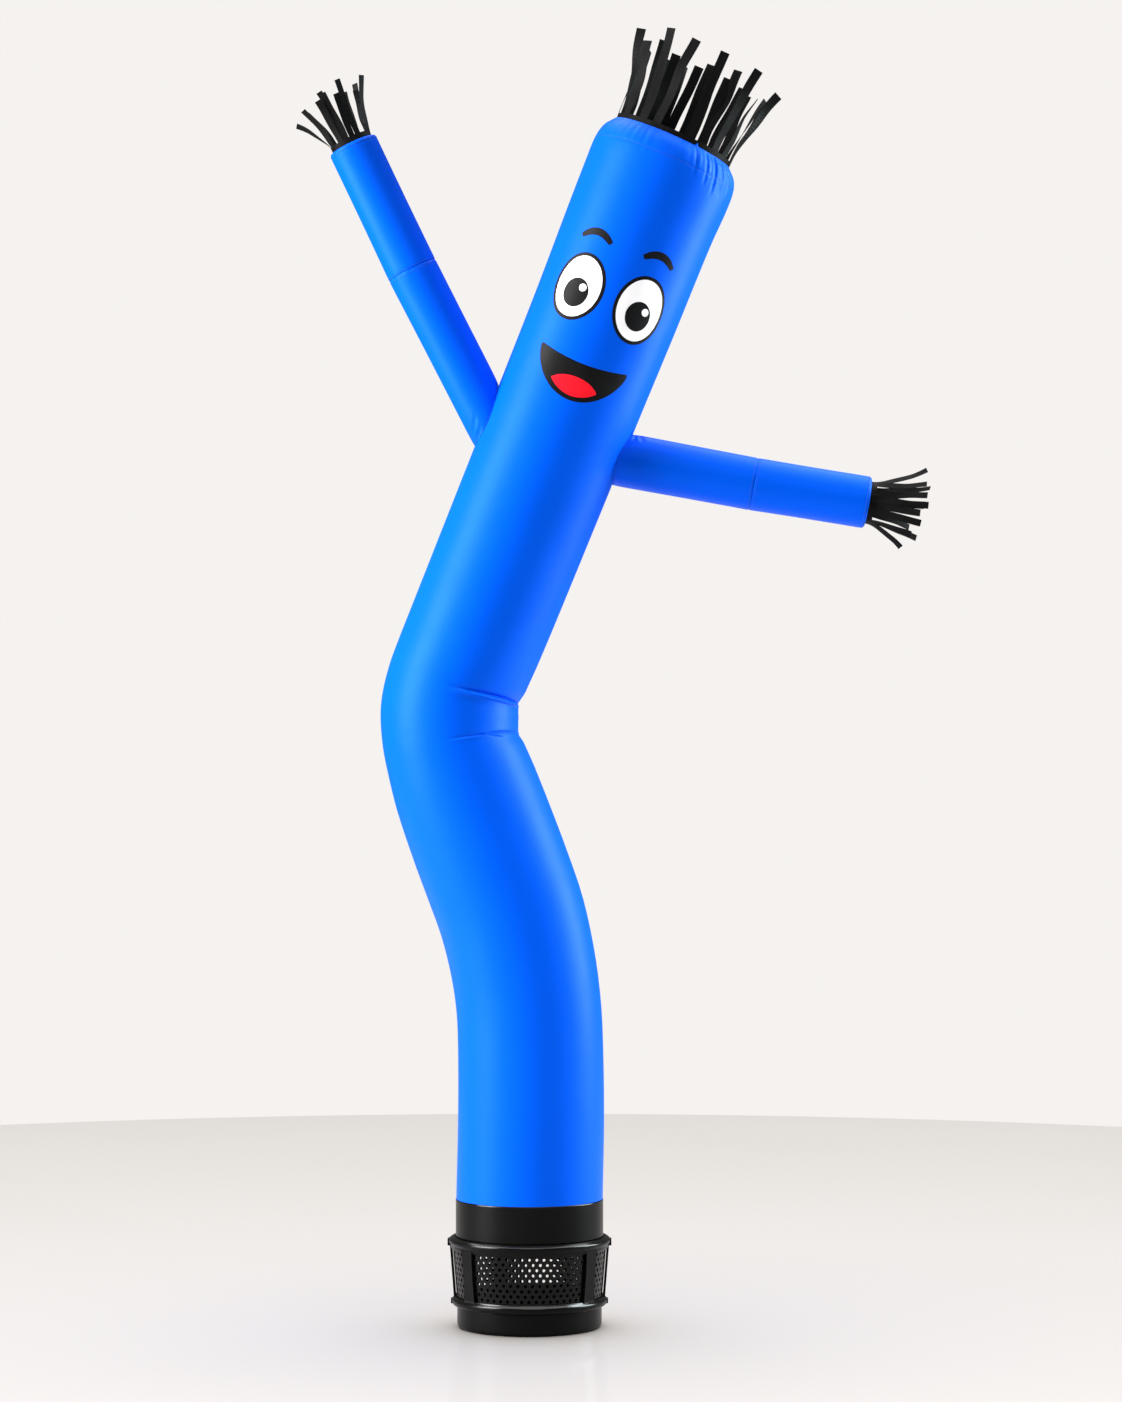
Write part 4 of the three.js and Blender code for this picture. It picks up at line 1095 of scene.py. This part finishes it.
def stroke(line, width, taper=0.25):
    """The two sides of a brush stroke along a line: its half width is w/2 (taper + (1 - taper)
    sin(pi s)^0.6), set off at right angles."""
    step = unit(np.gradient(line, axis=0))
    side = np.stack([-step[:, 1], step[:, 0]], axis=1)
    s = np.linspace(0, 1, len(line))[:, None]
    half = width / 2 * (taper + (1 - taper) * np.sin(np.pi * s) ** 0.6)
    return line - side * half, line + side * half


class AIRDANCER_OT_face(Operator):
    """Print the plain smiling face: two eyes, two brows and an open mouth"""

    bl_idname = "airdancer.face"
    bl_label = "Face print"

    def execute(self, context):
        face = context.scene.dancer_face
        middle = face.height / MM
        lift = 0.2  # one layer of ink, drawn thicker than it is so that layers stay apart
        black, white, red = [], [], []
        for side in (-1, 1):
            place = np.array([side * 53.0, 40.0])
            black.append(printed(ellipse(86, 108) + place, lift, middle))
            white.append(printed(ellipse(75, 97) + place, 2 * lift, middle))
            pupil = place + np.array([0.0, -10.0])
            black.append(printed(ellipse(42, 46) + pupil, 3 * lift, middle))
            glint = pupil + np.array([9.0, 10.0])
            white.append(printed(ellipse(12, 12) + glint, 4 * lift, middle, 4))
            brow = arc_line([(side * 53 - 26, 117), (side * 53, 129), (side * 53 + 26, 117)])
            black.append(band_patch(*stroke(brow, 12, 0.55), lift, middle, 5))
        # A half moon of a smile with a rounded tongue inside it.
        upper = arc_line([(-74, -58), (-37, -66), (0, -69), (37, -66), (74, -58)])
        lower = arc_line([(-74, -58.5), (-58, -98), (0, -128), (58, -98), (74, -58.5)])
        black.append(band_patch(lower, upper, lift, middle, 22))
        tongue_top = arc_line([(-38, -104), (-21, -94), (0, -91), (21, -94), (38, -104)])
        tongue_low = arc_line([(-38, -104.5), (-22, -116), (0, -121), (22, -116), (38, -104.5)])
        red.append(band_patch(tongue_low, tongue_top, 2 * lift, middle, 12))
        for ink, parts in (("black", black), ("white", white), ("red", red)):
            points, faces = joined(parts)
            piece = make_mesh(f"face_{ink}", points, triangles_of(faces))
            finish_piece(piece, shared(f"screen_ink_{ink}", screen_ink, getattr(face, ink)), None)
        return {"FINISHED"}


# ---- Streamers ----


def out_of_rim(across, degrees):
    """The direction out of a rim at an angle from its across towards +Y."""
    angle = math.radians(degrees)
    return across * math.cos(angle) + np.array([0, math.sin(angle), 0])


def strip_points(row, root, across, along, width, thickness, rng, steps=26):
    """One ribbon's closed corners, four a step, from deep in the rim to its square-cut tip. Its
    path is root + along rise t + outwards out t^1.7 + sideways aside t^2, for t from -0.16 to 1
    (a straight run below 0), with a seeded ripple and drift of a few millimetres."""
    at, rise, out, aside, turn = row
    outwards, sideways = out_of_rim(across, at), out_of_rim(across, at + 90)
    t = np.concatenate([[-0.16], np.linspace(0, 1, steps - 1)])[:, None]
    up = np.clip(t, 0, None)
    rest = np.minimum(up * 3, 1) * np.minimum((1 - up) * 3, 1)
    side_on = 1 + math.cos(math.radians(at)) ** 2
    ripple = side_on * rng.uniform(0.6, 1.7) * np.sin(up * rng.uniform(5, 8) + rng.uniform(0, 6.3))
    drift = rng.uniform(0.5, 2.2) * rng.choice([-1, 1]) * np.sin(up * rng.uniform(4, 7))
    # A ribbon of 145 mm ripples in full, and a shorter one less.
    ripple, drift = rise / 145 * rest * ripple, rise / 145 * rest * drift
    path = (root + along * rise * t + outwards * (out * up ** 1.7 + ripple)
            + sideways * (aside * up ** 2 + drift))
    forward = unit(np.gradient(path, axis=0))
    face = unit(np.cross(sideways, forward))
    twist = np.radians(turn) * up + np.radians(rng.uniform(-12, 12)) * np.sin(up * 5)
    turned_face = face * np.cos(twist) + np.cross(forward, face) * np.sin(twist)
    turned_edge = np.cross(forward, turned_face)
    half = width / 2 * (0.92 + 0.08 * np.minimum(up * 3, 1))
    ring = np.stack([path + turned_face * f * thickness / 2 + turned_edge * e * half
                     for f, e in ((1, -1), (1, 1), (-1, 1), (-1, -1))], axis=1)
    return ring, t[:, 0] * rise


def strip_mesh(ring, run, width):
    """Points, faces and uvs of one ribbon: its four sides, with a cap at either end."""
    last = (len(ring) - 1) * 4
    caps = np.array([[3, 2, 1, 0], [last, last + 1, last + 2, last + 3]])
    across = np.array([0, width, width + 1, 2 * width + 1, 2 * width + 2])[None, :]
    uv = np.concatenate([grid_uv(across, run[:, None]), np.zeros((8, 2))])
    return ring.reshape(-1, 3), np.concatenate([grid_faces(len(ring), 4), caps]), uv


def band_mesh(centre, across, along, rim):
    """Points, faces and uvs of the band that carries a rim's streamers: a closed ribbon ring just
    inside the cloth, from 12 mm below the rim to the cut of the fringe."""
    angle = circle(96)[None, :, None]
    middle, half = rim - BAND_INSET, 0.6
    profile = np.array([(middle - half, -12), (middle + half, -12), (middle + half, FRINGE_CUT),
                        (middle - half, FRINGE_CUT)])
    r, lift = profile[:, None, None, 0], profile[:, None, None, 1]
    ring = (centre + across * r * np.cos(angle) + np.array([0, 1, 0]) * r * np.sin(angle)
            + along * lift)
    around = np.linspace(0, 2 * np.pi * rim, 97)[None, :]
    uv = grid_uv(around, np.array([0, 1.6, 16, 17.6, 32.0])[:, None])
    return ring.reshape(-1, 3), grid_faces(4, 96, over=True), uv


def streamer_piece(name, table, axes, rim, width, thickness, seed, node):
    """A rim's streamers with their band. The axes are the rim's centre, across and along."""
    rng = np.random.default_rng(seed)
    centre, across, along = axes
    parts = []
    for row in table:
        # Seen from in front, the near ribbons would look longer than the far ones.
        row = row * (1, 1 + NEAR_TRIM * math.sin(math.radians(row[0])), 1, 1, 1)
        reach = rim - BAND_INSET + rng.uniform(-0.5, 0.3)
        root = centre + out_of_rim(across, row[0]) * reach + along * BAND_STANDS
        ring, run = strip_points(row, root, across, along, width, thickness, rng)
        parts.append(strip_mesh(ring, run, width))
    parts.append(band_mesh(centre, across, along, rim))
    points, faces = joined([part[:2] for part in parts])
    piece = make_mesh(name, points, faces, np.concatenate([part[2] for part in parts]))
    piece.data.shade_flat()
    black = bpy.context.scene.dancer_ribbon.black
    finish_piece(piece, shared("hot_cut_polyester_ribbon", woven_ribbon, black), "black_ribbon",
                 node)


class AIRDANCER_OT_streamers(Operator):
    """Make the ribbon streamers of the mouth and of both wrists"""

    bl_idname = "airdancer.streamers"
    bl_label = "Streamers"

    def execute(self, context):
        ribbon = context.scene.dancer_ribbon
        x, lean, wide, _ = section_at(MOUTH)
        rims = [("head", HEAD_STREAMERS, rim_frame(float(x), MOUTH, float(lean)), float(wide),
                 ribbon.head_width, 5)]
        tables, widths = (LEFT_STREAMERS, RIGHT_STREAMERS), (ribbon.left_width, ribbon.right_width)
        for (side, arm, _), table, width, seed in zip(ARMS, tables, widths, (8, 9)):
            _, fore, _ = sleeve_leans(arm)
            rims.append((side, table, rim_frame(*arm["wrist"][:2], fore), arm["rim"], width, seed))
        for name, table, axes, rim, width, seed in rims:
            streamer_piece(f"{name}_ribbons", table, axes, rim, width / MM,
                           ribbon.thickness / MM, seed, f"{name}_streamers")
        return {"FINISHED"}


# ---- Blower base ----


class AIRDANCER_OT_housing(Operator):
    """Mould the outlet nozzle, the cage with its posts, and the drum"""

    bl_idname = "airdancer.housing"
    bl_label = "Housing"

    def execute(self, context):
        black = context.scene.dancer_base.black
        cage = [lathed(filleted(FLANGE_PROFILE, 2.2)), lathed(filleted(RING_PROFILE, 2.0)),
                *map(post_points, POST_ANGLES), *(lug_points(*lug) for lug in LUGS)]
        for name, parts in (("nozzle", [lathed(filleted(NOZZLE_PROFILE, 1.6))]), ("cage", cage),
                            ("drum", [lathed(drum_profile())])):
            points, faces = joined(parts)
            piece = make_mesh(f"{name}_moulding", points, triangles_of(faces))
            piece.data.set_sharp_from_angle(angle=math.radians(40))
            finish_piece(piece, shared("moulded_satin_abs", moulded_abs, black), "black_plastic",
                         f"blower_{name}")
            piece.data.materials.append(shared("rubbed_abs_rim", moulded_abs, black, 0.15, 0.3))
            rub_rims(piece.data)
        return {"FINISHED"}


def rub_rims(mesh):
    """Gives the rims that hands and cloth rub the mesh's second, glossier material: every face
    whose middle, as radius and height, lies in one of the RUBBED boxes."""
    middle = face_middles(mesh)
    radius, height = np.hypot(middle[:, 0], middle[:, 1]), middle[:, 2]
    shiny = np.zeros(len(middle), np.int32)
    for low_radius, high_radius, low, high in RUBBED:
        shiny |= (radius > low_radius) & (radius < high_radius) & (height > low) & (height < high)
    mesh.polygons.foreach_set("material_index", shiny)


def drum_profile():
    """The drum's profile with a 7 mm rounding at its lower outer edge and 1 mm elsewhere."""
    rounded = filleted(DRUM_PROFILE, 1.0)
    corner = DRUM_PROFILE[1]
    near = np.linalg.norm(rounded - corner, axis=1) < 1.2
    arc = rounded_corner(corner - [7, 0], corner, corner + [0, 7], 9)
    first = int(near.argmax())
    return np.concatenate([rounded[:first], arc, rounded[first + int(near.sum()):]])


def upright(outline, radii, widths, heights, degrees):
    """An outline (in, aside) carried up at an angle about Z: at each height it is moved out to a
    radius and its sides are multiplied by a width. Returns (heights, outline, 3)."""
    radius = radii[:, None] + outline[None, :, 0]
    side = outline[None, :, 1] * widths[:, None]
    a = math.radians(degrees)
    return np.stack([radius * math.cos(a) - side * math.sin(a),
                     radius * math.sin(a) + side * math.cos(a),
                     heights[:, None] + 0 * side], axis=-1)


def block_outline(deep, half, fillet):
    """A rounded rectangle, this deep inwards from 0 and this far to either side."""
    corners = np.array([(-deep, -half), (0, -half), (0, half), (-deep, half)])
    return filleted(corners, fillet, 4)


def post_points(degrees):
    """A post of the cage: a rounded bar, 22 mm wide and 3.4 mm deep, that leans out from the
    lower ring to the flange and grows wider near both by 6 exp(-distance / 4)."""
    outline = block_outline(3.4, 11.0, 1.3)
    heights = np.array([45.0, 49.0, 86.0, 123.0, 127.0])
    share = np.clip((heights - 49) / 74, 0, 1)
    outer = POST_RADII[0] + (POST_RADII[1] - POST_RADII[0]) * share
    flare = 3.0 * np.exp(-np.minimum(heights - 45, 127 - heights) / 4.0)
    points = upright(outline, outer, 1 + flare / 11, heights, degrees)
    return points.reshape(-1, 3), grid_faces(len(heights), len(outline))


def lug_points(degrees, outer, foot, top):
    """A small rounded block on the cage's side: a rounded outline, 14 mm wide, carried up over
    four heights and drawn in by 0.8 mm at both ends, each closed by a fan."""
    outline = block_outline(8.0, 7.0, 2.0)
    heights = np.array([foot, foot + 0.8, top - 0.8, top])
    inset = np.array([0.8, 0, 0, 0.8])
    points = upright(outline, outer - inset, 1 - inset / 7, heights, degrees)
    count = len(outline)
    i = np.arange(count)
    j = (i + 1) % count
    fans = [np.stack([a, b, 0 * i + hub, 0 * i + hub], axis=1)
            for a, b, hub in ((j, i, 4 * count), (3 * count + i, 3 * count + j, 4 * count + 1))]
    return (np.concatenate([points.reshape(-1, 3), points[[0, -1]].mean(axis=1)]),
            np.concatenate([grid_faces(4, count), *fans]))


class AIRDANCER_OT_grille(Operator):
    """Perforate the intake grille: staggered round holes in a tapered sheet"""

    bl_idname = "airdancer.grille"
    bl_label = "Grille"

    def execute(self, context):
        base = context.scene.dancer_base
        points, faces = grille_points(base.holes_around, base.hole_rows, base.hole / MM / 2)
        piece = make_mesh("grille_sheet", points, faces)
        piece.data.shade_flat()
        finish_piece(piece, shared("moulded_perforated_sheet", moulded_grille, base.black),
                     "black_grille", "blower_grille")
        return {"FINISHED"}


def grille_points(around, rows, hole):
    """The grille: in each cell of a staggered hexagonal grid, twelve quads join the cell's outline
    to a round hole, outside and inside, and twelve more make the hole's wall. A place (turn,
    height) on the sheet is (r cos turn, r sin turn, height), where r grows evenly with height."""
    (foot, top), (foot_radius, top_radius) = WINDOW, GRILLE_RADII
    mean = (foot_radius + top_radius) / 2
    flat = 2 * np.pi / around * mean
    row_pitch = (top - foot) / rows
    corner = flat / math.sqrt(3)
    i = np.arange(12)
    t = np.radians(i * 30.0)
    # Hexagon with a corner at the top: corners at 30, 90..., and the middles of its sides.
    reach = np.where(i % 2 == 1, corner, corner * math.cos(math.pi / 6))
    hexagon = np.stack([reach * np.cos(t), reach * np.sin(t)], axis=1)
    hexagon[:, 1] *= row_pitch / (1.5 * corner)
    circular = np.stack([hole * np.cos(t), hole * np.sin(t)], axis=1)
    columns, lines = np.meshgrid(np.arange(around), np.arange(rows))
    middle = np.stack([(columns + (lines % 2) / 2) * flat,
                       foot + (lines + 0.5) * row_pitch], axis=-1)
    cell, rim = (middle[:, :, None] + shape for shape in (hexagon, circular))
    cell[-1, :, (i >= 1) & (i <= 5), 1] = top
    cell[0, :, (i >= 7) & (i <= 11), 1] = foot
    rings = []
    for shape, wall in ((cell, 0.0), (rim, 0.0), (rim, GRILLE_WALL), (cell, GRILLE_WALL)):
        share = (shape[..., 1] - foot) / (top - foot)
        r = foot_radius + (top_radius - foot_radius) * share - wall
        turn = shape[..., 0] / mean
        rings.append(np.stack([r * np.cos(turn), r * np.sin(turn), shape[..., 1]], axis=-1))
    # Each of a cell's twelve corners has four points, one for each ring.
    points = np.stack(rings, axis=3)
    j = (i + 1) % 12
    faces = np.concatenate([np.stack([i * 4 + k, j * 4 + k, j * 4 + k + 1, i * 4 + k + 1], axis=1)
                            for k in range(3)])
    shift = (np.arange(rows * around) * 48)[:, None, None]
    return points.reshape(-1, 3), (faces[None] + shift).reshape(-1, 4)


# ---- Studio ----


def placed(name, data, location=(0, 0, 0), turn=(0, 0, 0)):
    """A light or a camera in the scene, at a place in metres and a turn in radians."""
    made = bpy.data.objects.new(name, data)
    made.location, made.rotation_euler = location, turn
    bpy.context.scene.collection.objects.link(made)
    return made


def soft_box(name, place, aim, width, height, power, tint=(1.0, 1.0, 1.0)):
    """A rectangular area light that faces a point, with its power and colour."""
    light = bpy.data.lights.new(name, "AREA")
    light.shape = "RECTANGLE"
    light.size, light.size_y = width, height
    light.energy, light.color = power, tint
    x, y, z = np.array(aim, float) - np.array(place, float)
    made = placed(name, light, place, (math.atan2(math.hypot(x, y), -z), 0.0, math.atan2(-x, y)))
    made.visible_camera = False
    return made


def flag_off(name, boxes, pieces):
    """Keep the light of these boxes off these pieces, as a studio's flags do."""
    flagged = bpy.data.collections.new(name)
    for piece in pieces:
        flagged.objects.link(piece)
    for member in flagged.collection_objects:
        member.light_linking.link_state = "EXCLUDE"
    for box in boxes:
        box.light_linking.receiver_collection = flagged


class AIRDANCER_OT_studio(Operator):
    """Set the round pale floor, the soft boxes, the plain pale room and the camera"""

    bl_idname = "airdancer.studio"
    bl_label = "Studio"

    def execute(self, context):
        studio = context.scene.dancer_studio
        floor = make_mesh("studio_floor", *studio_disc(3200.0))
        floor.data.materials.append(shared("pale_studio_vinyl", studio_vinyl, studio.pale))

        key = soft_box("key_box", (-2.79, -0.91, 1.75), (0.0, 0.0, 1.1), 1.7, 3.2, studio.key)
        rim = soft_box("rim_box", (2.85, 0.5, 1.9), (0.0, 0.0, 1.2), 1.5, 3.2, studio.rim,
                       (0.86, 0.98, 1.0))
        front = soft_box("front_box", (0.3, -3.5, 3.4), (0.0, 0.0, 1.1), 2.5, 1.2, studio.front)
        # Flags keep the boxes off the floor, which the ceiling lights evenly, and the box on the
        # right off the raised arm, which stands in the head's shadow.
        raised = [bpy.data.objects[f"left_{part}_sleeve"] for part in ("upper", "forearm")]
        flag_off("off_the_floor", (key, front), [floor])
        flag_off("off_the_floor_and_arm", (rim,), [floor, *raised])
        ceiling = bpy.data.lights.new("ceiling", "SUN")
        ceiling.energy, ceiling.angle = studio.overhead, math.radians(80)
        ceiling.color = (1.0, 0.985, 0.96)
        placed("ceiling", ceiling, turn=(math.radians(-10), 0.0, 0.0))

        context.scene.world = pale_room(studio.pale, studio.ambient)
        context.scene.view_settings.view_transform = "Standard"

        lens = bpy.data.cameras.new("front_camera")
        lens.sensor_fit = "VERTICAL"
        lens.sensor_height = 36.0
        lens.lens = 102.7
        lens.clip_end = 60.0
        context.scene.camera = placed("front_camera", lens, (0.049, -6.224, 0.9725),
                                      (math.pi / 2, 0.0, 0.0))
        return {"FINISHED"}


def studio_disc(radius):
    """A flat round floor: rings at (r cos a, r sin a, 0), r from the edge in."""
    angle = circle(96)
    r = radius * np.linspace(1, 0.01, 12)[:, None]
    points = np.stack([r * np.cos(angle), r * np.sin(angle), 0 * r * angle], axis=-1)
    return points.reshape(-1, 3), grid_faces(12, 96)


def pale_room(pale, ambient):
    """The plain room around the floor: pale behind the object wherever one stands, and a softer
    even light for everything in it, as flags around a set give."""
    world = bpy.data.worlds.new("pale_room")
    world.use_nodes = True
    tree = world.node_tree
    tree.nodes.clear()
    lit, seen = (add_node(tree, "ShaderNodeBackground", {"Color": linear(pale), "Strength": s})
                 for s in (ambient, 1.0))
    path = add_node(tree, "ShaderNodeLightPath")
    both = add_node(tree, "ShaderNodeMixShader",
                    {0: path.outputs["Is Camera Ray"], 1: lit.outputs["Background"],
                     2: seen.outputs["Background"]})
    add_node(tree, "ShaderNodeOutputWorld", {"Surface": both.outputs["Shader"]})
    return world


class AIRDANCER_OT_declare(Operator):
    """Does nothing: no piece is said to be a sheet of cloth, and no flat size is given"""

    bl_idname = "airdancer.declare"
    bl_label = "Cloth sizes"

    def execute(self, context):
        return {"FINISHED"}


class AIRDANCER_PT_panel(Panel):
    """The air dancer's sizes, colours and pieces."""

    bl_label = "Air dancer"
    bl_idname = "AIRDANCER_PT_panel"
    bl_space_type = "VIEW_3D"
    bl_region_type = "UI"
    bl_category = "Air dancer"

    def draw(self, context):
        for owner, title in SETTINGS:
            group = getattr(context.scene, owner)
            box = self.layout.box()
            box.label(text=title)
            for key in group.bl_rna.properties.keys():
                if key not in ("rna_type", "name"):
                    box.prop(group, key)
        for step in STEPS:
            self.layout.operator(step.bl_idname)


SETTINGS = (("dancer_cloth", "Cloth"), ("dancer_face", "Face"), ("dancer_ribbon", "Ribbons"),
            ("dancer_base", "Blower base"), ("dancer_studio", "Studio"))
GROUPS = (AIRDANCER_PG_cloth, AIRDANCER_PG_face, AIRDANCER_PG_ribbon, AIRDANCER_PG_base,
          AIRDANCER_PG_studio)
STEPS = (AIRDANCER_OT_housing, AIRDANCER_OT_grille, AIRDANCER_OT_body, AIRDANCER_OT_sleeves,
         AIRDANCER_OT_stitching, AIRDANCER_OT_face, AIRDANCER_OT_streamers, AIRDANCER_OT_declare,
         AIRDANCER_OT_studio)


def register():
    """Registers the settings, the operators and the panel."""
    for kind in (*GROUPS, *STEPS, AIRDANCER_PT_panel):
        bpy.utils.register_class(kind)
    for (owner, _), group in zip(SETTINGS, GROUPS):
        setattr(bpy.types.Scene, owner, PointerProperty(type=group))


def unregister():
    """Takes all of them away again."""
    for owner, _ in SETTINGS:
        delattr(bpy.types.Scene, owner)
    for kind in reversed((*GROUPS, *STEPS, AIRDANCER_PT_panel)):
        bpy.utils.unregister_class(kind)


def main():
    """Makes every piece in order."""
    register()
    for step in STEPS:
        package, call = step.bl_idname.split(".")
        getattr(getattr(bpy.ops, package), call)()


if __name__ == "__main__":
    main()
